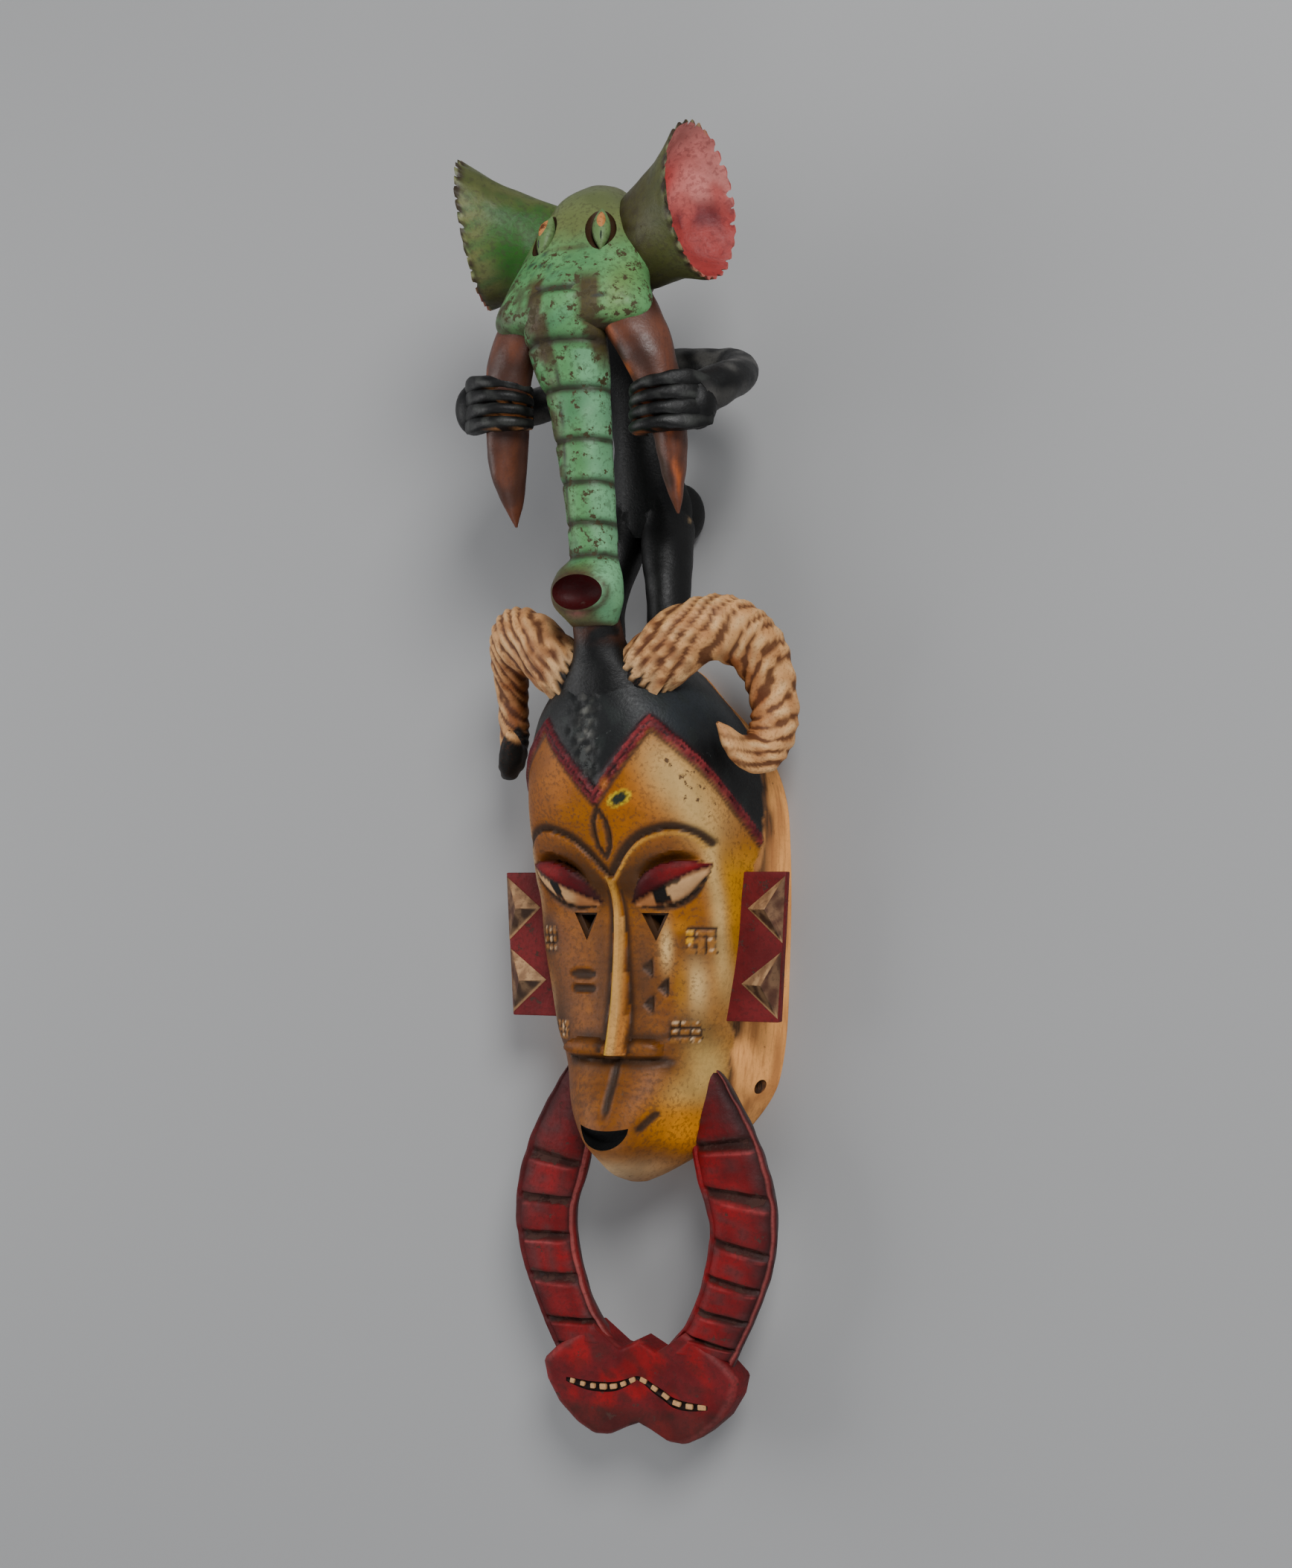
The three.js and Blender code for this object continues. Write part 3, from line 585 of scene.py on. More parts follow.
def hair_line_gap(y, grid):
    """Distance of the face's points from the zigzag line of the hair."""
    corners = [(-HAIR_SHARE[2], HAIR_HEIGHT[2]), (-HAIR_SHARE[1], HAIR_HEIGHT[1]), (0, HAIR_HEIGHT[0]),
               (HAIR_SHARE[1], HAIR_HEIGHT[1]), (HAIR_SHARE[2], HAIR_HEIGHT[2])]
    band = np.full(len(y), 99.0)
    for (s0, y0), (s1, y1) in zip(corners, corners[1:]):
        steps = np.linspace(0, 1, 60)
        spots = np.array([face_rows([y0 + (y1 - y0) * t], np.array([abs(s0 + (s1 - s0) * t)]))[0, 0]
                          * [np.sign(s0 + (s1 - s0) * t) or 1, 1, 1] for t in steps])
        close = (y > -34) & (y < 56)
        index = np.flatnonzero(close)
        for start in range(0, len(index), 4000):
            some = index[start:start + 4000]
            gap = np.linalg.norm(grid.reshape(-1, 3)[some, None] - spots, axis=2).min(axis=1)
            band[some] = np.minimum(band[some], gap)
    return band


def carved_face():
    """Points of the carved face, rows from rim to rim, and the marks that its paint, painted shade and
    painted highlight follow.
    """
    heights = np.r_[CHIN, CHIN + 0.6, np.linspace(CHIN + 2, CROWN - 2, 200), CROWN - 0.6, CROWN]
    half_shares = np.r_[np.linspace(0, 0.62, 58), np.linspace(0.62, 1, 22)[1:]]
    grid = mirrored(face_rows(heights, half_shares))
    shares = np.r_[-half_shares[:0:-1], half_shares]
    share = np.broadcast_to(shares, grid.shape[:2]).ravel()
    across, along = np.gradient(grid, axis=1), np.gradient(grid, axis=0)
    normal = np.cross(across, along).reshape(-1, 3)
    normal /= np.maximum(np.linalg.norm(normal, axis=1, keepdims=True), 1e-9)
    shape = grid.shape
    part = grid.reshape(-1, 3)
    x, y, z = part.T.copy()
    ax = np.abs(x)
    front = np.abs(share) < 0.7
    base = z.copy()
    # dark: painted shade in the cuts and hollows below, and darkening round the blocks of cells; pale:
    # painted highlight along the brows and the nose's ridge
    dark, pale, tops = (np.zeros(len(x)) for _ in range(3))

    # sockets, with painted shade that deepens with the cut
    low, _, there = egg_levels(ax, y, (31, 17, 13), (35, -47, 90), (0, 0.3, 0.36))
    cut = front & there
    z[cut] = -wavy_max(-z[cut], -low[cut], 2.5)
    dark += np.where(cut, 0.55 * fade(base - z, 0.5, 6), 0)

    # brows: a cut with a soft upper side and a crisp lower edge, with painted shade in the cut and a painted
    # highlight just under the edge
    gap, run, side = to_line(ax, y, BROW, 140)
    ends = fade(run, -0.02, 0.03) * (1 - fade(run, 0.95, 1.0))
    width = np.where(side > 0, 5.6, 1.5)
    notch = np.clip(1 - gap / width, 0, 1) * ends * front
    z -= 2.8 * notch
    dark = np.maximum(dark, fade(notch, 0.0, 0.62))
    pale = np.maximum(pale, 0.8 * np.exp(-((gap - 2.4) / 0.9) ** 2) * (side < 0) * ends * front)

    # lozenge on the forehead, with painted shade in its cut
    gap, run, _ = to_line(ax, y, LOZENGE, 60)
    notch = np.clip(1 - gap / 2.3, 0, 1) * front
    z -= 2.2 * notch
    dark = np.maximum(dark, fade(notch, 0.05, 0.5))

    # eyes: a full upper lid over a flatter ball, with painted shade in the crease under the ball, along the
    # fold above the lid and in the hollow under the brow
    rel_along, over, swell, reach = eye_shares(ax, y)
    inside = front & (reach < 1)
    dome = base + 6.6 * swell * np.maximum(1 - reach ** 2, 0) ** 0.7
    ball = fade(-over, -0.3, 0.5) * fade(1 - reach, 0, 0.12)
    dome = dome - 1.5 * ball
    z = np.where(inside, np.maximum(z, dome), z)
    ring = front & (reach < 1.6) & (over < 0)
    crease = np.where(ring, np.exp(-((reach - 1.09) / 0.13) ** 2), 0)
    z -= 1.4 * crease
    dark = np.maximum(dark, crease)
    fold = np.where(front & (reach < 2) & (over > 0), np.exp(-((reach - 1.1) / 0.22) ** 2), 0)
    dark = np.maximum(dark, 0.6 * fold)
    hollow = spot(ax, y, 20, -40, 17, 9, 0.5) + 0.8 * spot(ax, y, 9, -50, 7, 12)
    dark = np.maximum(dark, front * 0.75 * np.clip(hollow, 0, 1) * (1 - fade(pale, 0, 0.5)))

    # nose and its wings, with painted shade down the nose's flanks and over the wings, and a painted
    # highlight on its ridge
    down = np.clip((-45 - y) / 98.5, 0, 1)
    wide, high = 3 + 5.5 * down ** 1.4, (4 + 6.5 * down) * fade(y, -144.5, -143)
    ridge = np.interp(ax / wide, [0, 0.35, 1.0, 1.3], [1, 0.96, 0.02, -1])
    nose = front & (y < -44) & (y > -144.5) & (ridge > 0)
    z = np.where(nose, np.maximum(z, front_height(y) + high * np.maximum(ridge, 0) - 0.6), z)
    beside = front & (y < -50) & (y > -143) & (ax > wide) & (ax < wide + 5)
    dark = np.maximum(dark, np.where(beside, 0.95 * (1 - fade(ax - wide, 0.5, 5)), 0))
    pale = np.maximum(pale, np.where(nose & (ax < 0.75 * wide), 0.75, 0))
    for side, middle, half in ((1, 15.5, 11.5), (-1, 20, 15.5)):
        _, top, there = egg_levels(side * x, y, (half, 6.2, 4.6), (middle, -140.8, 79), (0.3, 0.16, -0.04))
        wing = front & there & (side * x > 0)
        z[wing] = wavy_max(z[wing], top[wing], 2.2)
    shaded = spot(ax, y, 20, -133.5, 15, 3.2) + spot(ax, y, 9.5, -138, 3, 6)
    dark = np.maximum(dark, np.where(front & (y > -139), 0.8 * np.clip(shaded, 0, 1), 0))

    # step under the nose, groove down the lip, slash beside the mouth, each with painted shade in it, and a
    # painted shadow under the step
    for line, width, depth, darkness in (
            ([(-33, -145.8), (0, -146.6), (33, -145.8)], 3.2, 2.6, 1.0),
            ([(1.5, -146), (1.2, -155), (0.6, -166), (-0.4, -178)], 3.8, 2.4, 1.0),
            ([(25.5, -175.5), (21.5, -180), (17, -185.5)], 3.0, 1.6, 1.0)):
        gap, run, _ = to_line(x, y, line, 60)
        notch = np.clip(1 - gap / width, 0, 1) * front * (1 - 0.6 * fade(run, 0.85, 1))
        z -= depth * notch
        dark = np.maximum(dark, darkness * fade(notch, 0.05, 0.7))
    dark = np.maximum(dark, 0.85 * front * (1 - fade(-146 - y, 0, 10)) * (y < -145) * (1 - fade(ax, 30, 36)))

    # cuts on the cheeks: two dashes on one side, three chips on the other, with painted shade in each
    for cx, cy, rx, ry in ((-25, -98.4, 9.5, 2.4), (-24.5, -106.7, 9, 2.4)):
        pit = np.clip(1 - ((x - cx) / rx) ** 4 - ((y - cy) / (ry + 0.4)) ** 2, 0, 1) * front
        z -= 1.7 * np.sqrt(pit)
        dark = np.maximum(dark, fade(pit, 0, 0.4))
    for cx, cy in ((16.5, -93.8), (25.5, -104.8), (17.3, -114.6)):
        run = (x - cx + 3.8) / 7.6
        pit = np.clip(np.minimum(4 * (1 - run), 3 * (run - np.abs(y - cy) / 6.8)), 0, 1) * front
        z -= 2.2 * pit
        dark = np.maximum(dark, fade(pit, 0, 0.5))
    # blocks of raised cells, with painted shade in the cuts between the cells and darker paint round each
    # block
    for corner, size in (((38.5, -86.8), (16, 15)), ((29.8, -137), (15.6, 13.5)),
                         ((-55.5, -86), (11, 15)), ((-46.5, -137), (11, 12))):
        lift, cuts = cells_of(x, y, corner, size)
        z += lift * front
        dark = np.maximum(dark, cuts * front)
        tops = np.maximum(tops, (lift > 0) * front)
        dark = np.maximum(dark, 0.75 * front * spot(x, y, corner[0] + size[0] / 2, corner[1] + size[1] / 2,
                                                   0.75 * size[0], 0.75 * size[1]) * (lift == 0))

    # fluting of the hair cap, pecked in a band down its middle
    pecks = hair_pecks(x, y)
    hair_line = np.interp(np.abs(share), [*HAIR_SHARE, 0.95], [*HAIR_HEIGHT, -60])
    hair = (y > hair_line) & (np.abs(share) < 0.99)
    pecks *= hair
    part = np.stack([x, y, z], axis=1)
    part -= normal * (1.3 * pecks)[:, None]

    # raised band along the hair line: two ridges with a groove between
    band = hair_line_gap(y, grid)
    raise_by = 1.8 * (1 - fade(band, 2.3, 3.2)) - 1.3 * (1 - fade(band, 0.2, 1.0))
    part += normal * raise_by[:, None]
    stripe = 1 - fade(band, 2.5, 3.1)
    trench = 1 - fade(band, 0.3, 1.1)

    return part.reshape(shape), {
        "x": x, "y": y, "ax": ax, "share": share, "dark": dark, "pale": pale, "tops": tops,
        "inside": inside, "over": over, "along": rel_along, "reach": reach,
        "hair": hair, "band": band, "stripe": stripe, "trench": trench, "pecks": pecks}


def face_body():
    rings, marks = carved_face()
    made = loft(rings, face_paint, OCHRE)
    made.finishes = [face_paint, black_paint, red_paint, raw_wood]
    ends = {name: np.r_[values, values[:1], values[-1:]] for name, values in marks.items()}
    m = SimpleNamespace(**ends)
    full = np.vstack([rings.reshape(-1, 3), rings[0, :1], rings[-1, -1:]])
    m.full, m.quick, m.small = full, drift(full, 17, 6), drift(full, 7, 7)
    brush_ground(made, m)
    lid, eyeball = brush_eyes(made, m)
    brush_chip(made, m)
    raw = brush_hair_and_rim(made, m)
    # dirt and painted shade in the cuts and hollows
    made.grime_and_shade(0.45 * m.dark * (1 - m.hair))
    made.chip(0.1 + 0.2 * spot(m.x, m.y, 47, 6, 12, 26) * (1 - m.dark)
              + 0.3 * m.hair * spot(m.x, m.y, -5, 34, 6, 28))
    made.calm(0.9 * eyeball)
    kinds = np.zeros(len(full), int)
    kinds[m.hair] = 1
    kinds[(m.stripe > 0.5) | lid] = 2
    kinds[raw > 0.5] = 3
    made.stuff = kinds[[face[0] for face in made.faces]]
    return body("face", made)


def brush_ground(made, m):
    """Ground colours of the face, its cuts and the ridge of the nose, with painted shade and painted
    highlight.
    """
    x, y, ax, dark, pale, tops = m.x, m.y, m.ax, m.dark, m.pale, m.tops
    full, quick, small = m.full, m.quick, m.small
    slow = drift(full, 60, 5)
    # painted shade over the left side of the face, with tone that wavers at random
    made.brush((130, 70, 8), 0.75 * fade(-x, 12, 46) + 0.25 * quick)
    made.brush((178, 100, 0), 0.9 * spot(x, y, 20, 2, 15, 26) + 0.55 * spot(x, y, -22, 12, 12, 18))
    made.brush((112, 60, 12), 0.6 * fade(-y, 60, 90) * (1 - fade(ax, 44, 56)) + 0.25 * small)
    made.brush((92, 58, 34), 0.9 * spot(x, y, 15, -98, 9, 36) + 0.8 * spot(x, y, -12, -96, 6, 40))
    made.brush((72, 42, 18), 0.85 * spot(x, y, -44, -122, 12, 22) + 0.75 * spot(x, y, -52, -76, 7, 14))
    # painted highlight: cream on the right brow and temple and in a streak down the right cheek
    made.brush((214, 174, 108), 0.95 * spot(x, y, 44, 12, 13, 24, 0.5) + 0.6 * spot(x, y, 52, -12, 8, 16))
    cheek = fade(y, -150, -90) * (1 - fade(y, -25, 0))
    made.brush((214, 174, 108), 0.9 * np.exp(-((x - 56.5) / 4.2) ** 2) * cheek)
    made.brush((228, 188, 124), 0.95 * spot(x, y, 44, -104, 6, 16) + 0.9 * spot(x, y, 28, -82, 3.5, 13))
    made.brush((192, 128, 20), 0.8 * spot(x, y, 36, -106, 4, 14))
    made.brush((206, 168, 96), 0.85 * spot(x, y, 45, -150, 8, 24) + 0.6 * spot(x, y, 36, -166, 8, 10))
    made.brush((206, 142, 10), 0.9 * fade(x, 57, 62) * (1 - fade(y, -44, -14)) * fade(y, -150, -120))
    made.brush((222, 140, 4), 0.95 * spot(x, y, 35, -184, 11, 14) + 0.8 * spot(x, y, 36.5, -71, 5, 4))
    made.brush((206, 176, 132), 0.8 * spot(x, y, -2, -209, 22, 8) + 0.75 * spot(x, y, -58, -30, 4, 34))
    made.brush((206, 176, 132), 0.6 * spot(x, y, -52, -120, 4, 16))
    made.brush((108, 60, 10), 0.6 * spot(x, y, -4, -162, 26, 14) + 0.25 * slow * (ax < 40))
    made.brush((76, 40, 12), 0.6 * fade(small + 0.6 * quick, 0.35, 0.8) * spot(x, y, -8, -160, 22, 14))
    # painted shade under the brows
    made.brush((96, 52, 14), 0.7 * spot(ax, y, 28, -30, 20, 7, 0.25))
    # painted shade in the cuts and hollows
    made.brush(DARK, 0.97 * dark)
    # painted highlight along the brows and on the nose's ridge
    made.brush((206, 150, 60), pale * (x > -4) * (dark < 0.5))
    made.brush((206, 156, 92), 0.85 * pale * fade(x, -1.8, -0.6) * fade(-y, 50, 66))
    made.brush((176, 96, 20), 0.85 * pale * fade(x, 2.0, 4.0) * fade(-y, 50, 72))
    made.brush((210, 170, 40), 0.8 * pale * (x <= -1.5) * (x > -4.5) * (y < -56))
    made.brush((150, 96, 34), 0.85 * tops)
    made.brush((226, 160, 20), 0.9 * tops * (x > 34) * (x < 44) * (y > -80))
    made.brush((222, 190, 150), 0.8 * tops * fade(drift(full, 5, 24), 0.45, 0.7))
    quiet = spot(x, y, 46, 4, 13, 28) + spot(x, y, 54, -80, 8, 50) + spot(x, y, 44, -150, 9, 22)
    made.calm(0.75 * np.clip(quiet + spot(ax, y, 0, -95, 6, 60) + spot(x, y, 0, -205, 26, 14), 0, 1))


def brush_eyes(made, m):
    """Lids, eyeballs and pupils, with painted shade along the lids, in their inner corners and on the balls
    under them.
    """
    x, inside, over, rel_along, reach = m.x, m.inside, m.over, m.along, m.reach
    lid = inside & (over > -0.4)
    made.brush((86, 8, 16), lid)
    made.brush((140, 10, 14), 0.85 * lid * spot(reach, rel_along, 0.35, 0.72, 0.5, 0.22))
    # painted shade along the lid's rim and lower edge, then in its inner corner
    made.brush((36, 12, 14), lid * fade(reach, 0.86, 1.0) * 0.9 + 0.8 * lid * (1 - fade(over, -0.3, 0.9)))
    made.brush(DARK, 0.75 * lid * (1 - fade(rel_along, 0.06, 0.3)))
    eyeball = inside & (over <= -0.4)
    made.brush((216, 168, 116), eyeball)
    made.brush((184, 112, 58), eyeball * (1 - fade(rel_along, 0.25, 0.4)) * 0.8)
    # painted shadow of the lid on the ball
    made.brush((120, 70, 40), eyeball * (1 - fade(-over, 0.8, 2.6)) * 0.8)
    for low, high, at in ((24.5, 33, x), (34.5, 41, -x)):
        pupil = eyeball & (at > low) & (at < high)
        made.brush(BLACK, pupil & (reach < 0.86))
        made.brush(BLACK, 0.8 * (eyeball & (at > high) & (at < high + 9) & (over > -2.4)))
    # painted shade in the crease round the ball
    made.brush(DARK, eyeball * fade(reach, 0.78, 0.92))
    made.brush((160, 94, 50), eyeball * np.exp(-((reach - 0.8) / 0.05) ** 2) * 0.35)
    return lid, eyeball


def brush_chip(made, m):
    """A chip of yellow with a black heart by the dip of the hair line."""
    x, y, share = m.x, m.y, m.share
    chip = np.hypot((x - 14.5) / 6.6, (y - 1.0 - 0.3 * (x - 14.5)) / 4.0)
    fore = np.abs(share) < 0.5
    made.brush((226, 190, 10), fore * (1 - fade(chip, 0.95, 1.15)))
    made.brush((34, 44, 34), fore * (1 - fade(chip, 0.68, 0.84)))


def brush_hair_and_rim(made, m):
    """Hair with its painted sheen and highlight, the band along it, and raw wood round the rim."""
    x, y, share, hair, band = m.x, m.y, m.share, m.hair, m.band
    stripe, trench, pecks = m.stripe, m.trench, m.pecks
    full, quick, small = m.full, m.quick, m.small
    made.brush((15, 17, 17), hair)
    # painted sheen on the right of the hair cap
    made.brush((52, 60, 66), 0.5 * hair * spot(x, y, 44, 52, 15, 20))
    made.brush((34, 40, 37), 0.5 * hair * fade(drift(full, 12, 22), 0, 0.8))
    # painted highlight down the middle of the cap
    made.brush((150, 148, 138), 0.6 * hair * spot(x, y, -4, 34, 4.2, 24) * fade(small, -0.5, 0.5))
    made.brush((14, 14, 14), pecks * 0.9)
    made.brush((142, 48, 52), 0.95 * stripe)
    made.brush((92, 22, 32), 0.85 * stripe * np.clip(fade(quick, -0.4, 0.4) + fade(-x, -10, 20), 0, 1))
    made.brush((26, 12, 14), 0.95 * trench * stripe)
    made.brush((26, 26, 28), 0.9 * stripe * fade(drift(full, 9, 23), 0.3, 0.6) * spot(x, y, 12, 14, 10, 12))
    made.brush((44, 20, 24), (1 - stripe) * np.exp(-((band - 3.8) / 1.3) ** 2) * 0.85)
    made.brush((222, 130, 50), stripe * spot(x, y, 7.5, 9, 2.4, 3.2) * 0.9)
    edge = np.interp(y, [-215, -198, -160, -130, -32, -20, -4, 20, 60, 90],
                     [0.93, 0.8, 0.63, 0.64, 0.74, 0.775, 0.82, 0.835, 0.9, 0.97])
    raw = fade(np.abs(share) - edge + 0.012 * quick, -0.004, 0.008)
    made.brush(RAW, raw)
    made.brush((150, 86, 44), 0.6 * raw * fade(drift(full * [1, 0.3, 1], 16, 30), -0.2, 0.8))
    border = np.abs(share) - edge + 0.03 * drift(full, 22, 32)
    burn = fade(drift(full * [1, 0.45, 1], 26, 31), -0.1, 0.5) * spot(border, 0, 0.035, 0, 0.06, 1)
    burn = burn + np.exp(-(border / 0.03) ** 2) * fade(drift(full, 30, 33), -0.9, 0.0)
    made.brush((38, 26, 22), 0.88 * raw * np.clip(burn, 0, 1))
    return raw


def hollow_body():
    """What is hollowed out behind the face: the face's own form, smaller, open at the rim."""
    heights = np.linspace(CHIN, CROWN, 40)
    grid = mirrored(face_rows(heights, np.linspace(0, 1, 22)))
    middle = (CHIN + CROWN) / 2
    grid = (grid - [0, middle, 0]) * [0.86, 0.885, 0.88] + [0, middle, -1.5]
    made = loft(grid, raw_wood, (150, 106, 70))
    made.brush((104, 72, 48), 0.6 * made.cloud(40, 77, -0.2, 0.6))
    return body("hollow", made)


# Ears of the mask: flat plates with two pyramids each

def mask_ear(side):
    top, bottom, face, thick = -39.5, -125.0, 46.0, 6.5
    bpy.ops.mesh.primitive_cube_add(size=1)
    plate = bpy.context.object
    corner = {(True, True): (90.5, top), (True, False): (85.5, bottom), (False, True): (56, top),
              (False, False): (48, bottom)}
    for vertex in plate.data.vertices:
        x, y = corner[vertex.co.x > 0, vertex.co.y > 0]
        vertex.co = Vector((x, y, face if vertex.co.z > 0 else face - thick)) * MM
    if side < 0:
        plate.data.transform(Matrix.Diagonal((-1, 1, 1, 1)))
        plate.data.flip_normals()
    soften(plate, 0.7)
    dress(plate, red_paint, (112, 30, 32), (0.24, 0.1, 0))
    for foot in ([(90, -42), (88, -80), (67, -60.5)], [(87.5, -85), (85, -123), (63, -103.5)]):
        foot = np.array([(side * px, py, face - 2) for px, py in foot])
        peak = np.array([side * (abs(foot[0, 0]) - 10), (foot[0, 1] + foot[1, 1]) / 2, face + 7.5])
        way = np.linspace(0, 1, 12, endpoint=False)[:, None]
        edge = np.concatenate([foot[k] + (foot[(k + 1) % 3] - foot[k]) * way for k in range(3)])
        rise = np.linspace(0, 1, 14)[1:]
        rings = [edge, edge + [0, 0, 2.2]]
        rings += [(edge + [0, 0, 2.2]) * (1 - t) + peak * t for t in rise[:-1]]
        rings.append(edge * 0.02 + peak * 0.98)
        made = loft(np.array(rings), red_paint, TAN)
        height = made.points[:, 2] - face
        which = np.r_[np.tile(np.arange(36) // 12, len(rings)), 0, 0]
        blotch = made.cloud(8, 3, -0.5, 0.5)
        # painted light and shade: the three faces of each pyramid in a lit, a shaded and a darkest tone, with
        # a painted highlight along the foot of the darkest face
        made.brush((104, 66, 46), 0.55 * (which == 2) * blotch)
        made.brush((70, 36, 28), 0.94 * (which == 0) - 0.25 * (which == 0) * blotch)
        made.brush((44, 26, 22), 0.94 * (which == 1) - 0.25 * (which == 1) * blotch)
        made.brush((206, 160, 112), 0.8 * (which == 1) * np.exp(-((height - 0.5) / 0.5) ** 2))
        # dirt and painted shade round the foot of the other faces
        made.grime_and_shade(0.3 * (1 - fade(height, 0, 1.2)) * (which != 1))
        made.chip(0.05)
        work(plate, body("pyramid", made))
    return plate


def soften(made, width, segments=2):
    """Rounds the edges of a body made from a primitive."""
    bpy.context.view_layer.objects.active = made
    modifier = made.modifiers.new("worn edges", "BEVEL")
    modifier.width, modifier.segments, modifier.limit_method = width * MM, segments, "ANGLE"
    bpy.ops.object.modifier_apply(modifier=modifier.name)


# Horns

HORN_LINE = [(10, 58, 86), (26, 73, 92), (46, 91, 89), (65.5, 97, 79), (79.5, 86, 62), (84, 64, 50),
             (84, 43, 48), (80, 29, 56), (73.5, 28, 71), (66, 43, 87)]
HORN_COIL = np.array([60, 58, 70])
HORN_SIZES = [(0, 18, 15), (0.2, 19, 15), (0.42, 18.5, 12), (0.6, 15, 8.5), (0.75, 14, 8), (0.88, 11, 6.5),
              (0.95, 7, 5), (1, 1.2, 1.2)]
HORN_FINGERS = 15  # frayed ends round the root of each horn


def horn(side):
    even = spline(HORN_LINE)[1]
    share = np.linspace(0, 1, 112)[:, None]
    around = np.linspace(0, 2 * np.pi, 5 * HORN_FINGERS, endpoint=False)[None, :]
    centre = even(share[:, 0])
    tangent = np.gradient(centre, axis=0)
    tangent /= np.linalg.norm(tangent, axis=1, keepdims=True)
    outward = centre - HORN_COIL
    outward -= tangent * (outward * tangent).sum(axis=1, keepdims=True)
    outward /= np.linalg.norm(outward, axis=1, keepdims=True)
    sideways = np.cross(tangent, outward)
    long, short = (profile([(s[0], s[k]) for s in HORN_SIZES])(share) for k in (1, 2))
    angle = around + 0.6 * share
    draw = np.random.default_rng(40 + side)
    fingers = draw.normal(size=HORN_FINGERS).repeat(5)[None, :]
    ragged = 0.1 + 0.014 * fingers + 0.012 * np.cos(HORN_FINGERS * around)
    shown = fade(share, ragged - 0.005, ragged + 0.005)
    smooth = (centre[:, None] + (long * np.cos(angle))[..., None] * outward[:, None]
              + (short * np.sin(angle))[..., None] * sideways[:, None])

    # flutes that keep one slant in space while the horn curls
    x, y, _ = np.moveaxis(smooth, -1, 0)
    waver = drift(smooth.reshape(-1, 3), 26, 61).reshape(x.shape)
    low = fade(share, 0.55, 0.85)
    slanted = (0.82 * x - 0.57 * y) * (1 - low) + (90 - y) * low
    wave = np.cos(2 * np.pi * slanted / 7.2 + 1.7 * waver)
    reach = (0.98 + 0.045 * wave * fade(1 - share, 0.02, 0.2)) * (0.9 + 0.1 * shown)
    rings = (centre[:, None] + (long * reach * np.cos(angle))[..., None] * outward[:, None]
             + (short * reach * np.sin(angle))[..., None] * sideways[:, None])
    made = loft(rings * [side, 1, 1], horn_paint, HORN)
    breaks = drift(smooth.reshape(-1, 3), 9, 62 + side).reshape(x.shape)
    cut = fade(-wave + 0.6 * breaks, 0.2, 0.75) * (1 - 0.45 * fade(share, 0.85, 0.95))

    def pad(values):
        return at_points(values, rings)

    # painted shade on the inside of the bend and near the root, mixed with tone that wavers at random, and a
    # painted highlight on the crests of the flutes
    inner = fade(-np.cos(angle), 0.1, 0.9) * fade(share, 0.3, 0.5) * (1 - fade(share, 0.85, 0.95))
    made.brush((232, 188, 132), 0.8 * pad(fade(wave, 0.3, 0.95)) * made.cloud(18, 9, -0.6, 0.4))
    made.brush((150, 88, 46), 0.8 * pad(inner) + 0.5 * made.cloud(14, 8, -0.2, 0.8))
    made.brush((122, 72, 44), 0.75 * pad(1 - fade(share, 0.14, 0.34)) * made.cloud(9, 12, -0.6, 0.4))
    made.brush((84, 44, 24), 0.9 * pad(cut))
    made.brush((214, 172, 122), 0.7 * pad(fade(ragged + 0.05 - share, 0, 0.04) * shown))
    if side < 0:
        across = np.abs(made.points[:, 0] + 76)
        made.brush((30, 28, 26), fade(50 - made.points[:, 1] - 1.1 * across, 0, 3) * pad(share > 0.35))
    made.brush(BLACK, 1 - pad(shown))
    made.chip(0.08 * pad(shown))
    return body("horn", made.rough_out(11, 0.25, 60))


# Snakes

# shares of the way where the carved steps cross each snake's inner edge, and how much later the outer
SNAKE_STEPS = {1: ([0.214, 0.375, 0.544, 0.667, 0.775, 0.872, 0.975], 0.08),
               -1: ([0.325, 0.448, 0.568, 0.707, 0.858, 0.967], 0.035)}
SNAKE_BACK, HEAD_FRONT, HEAD_MIDDLE = 33.0, 52.0, -335.0


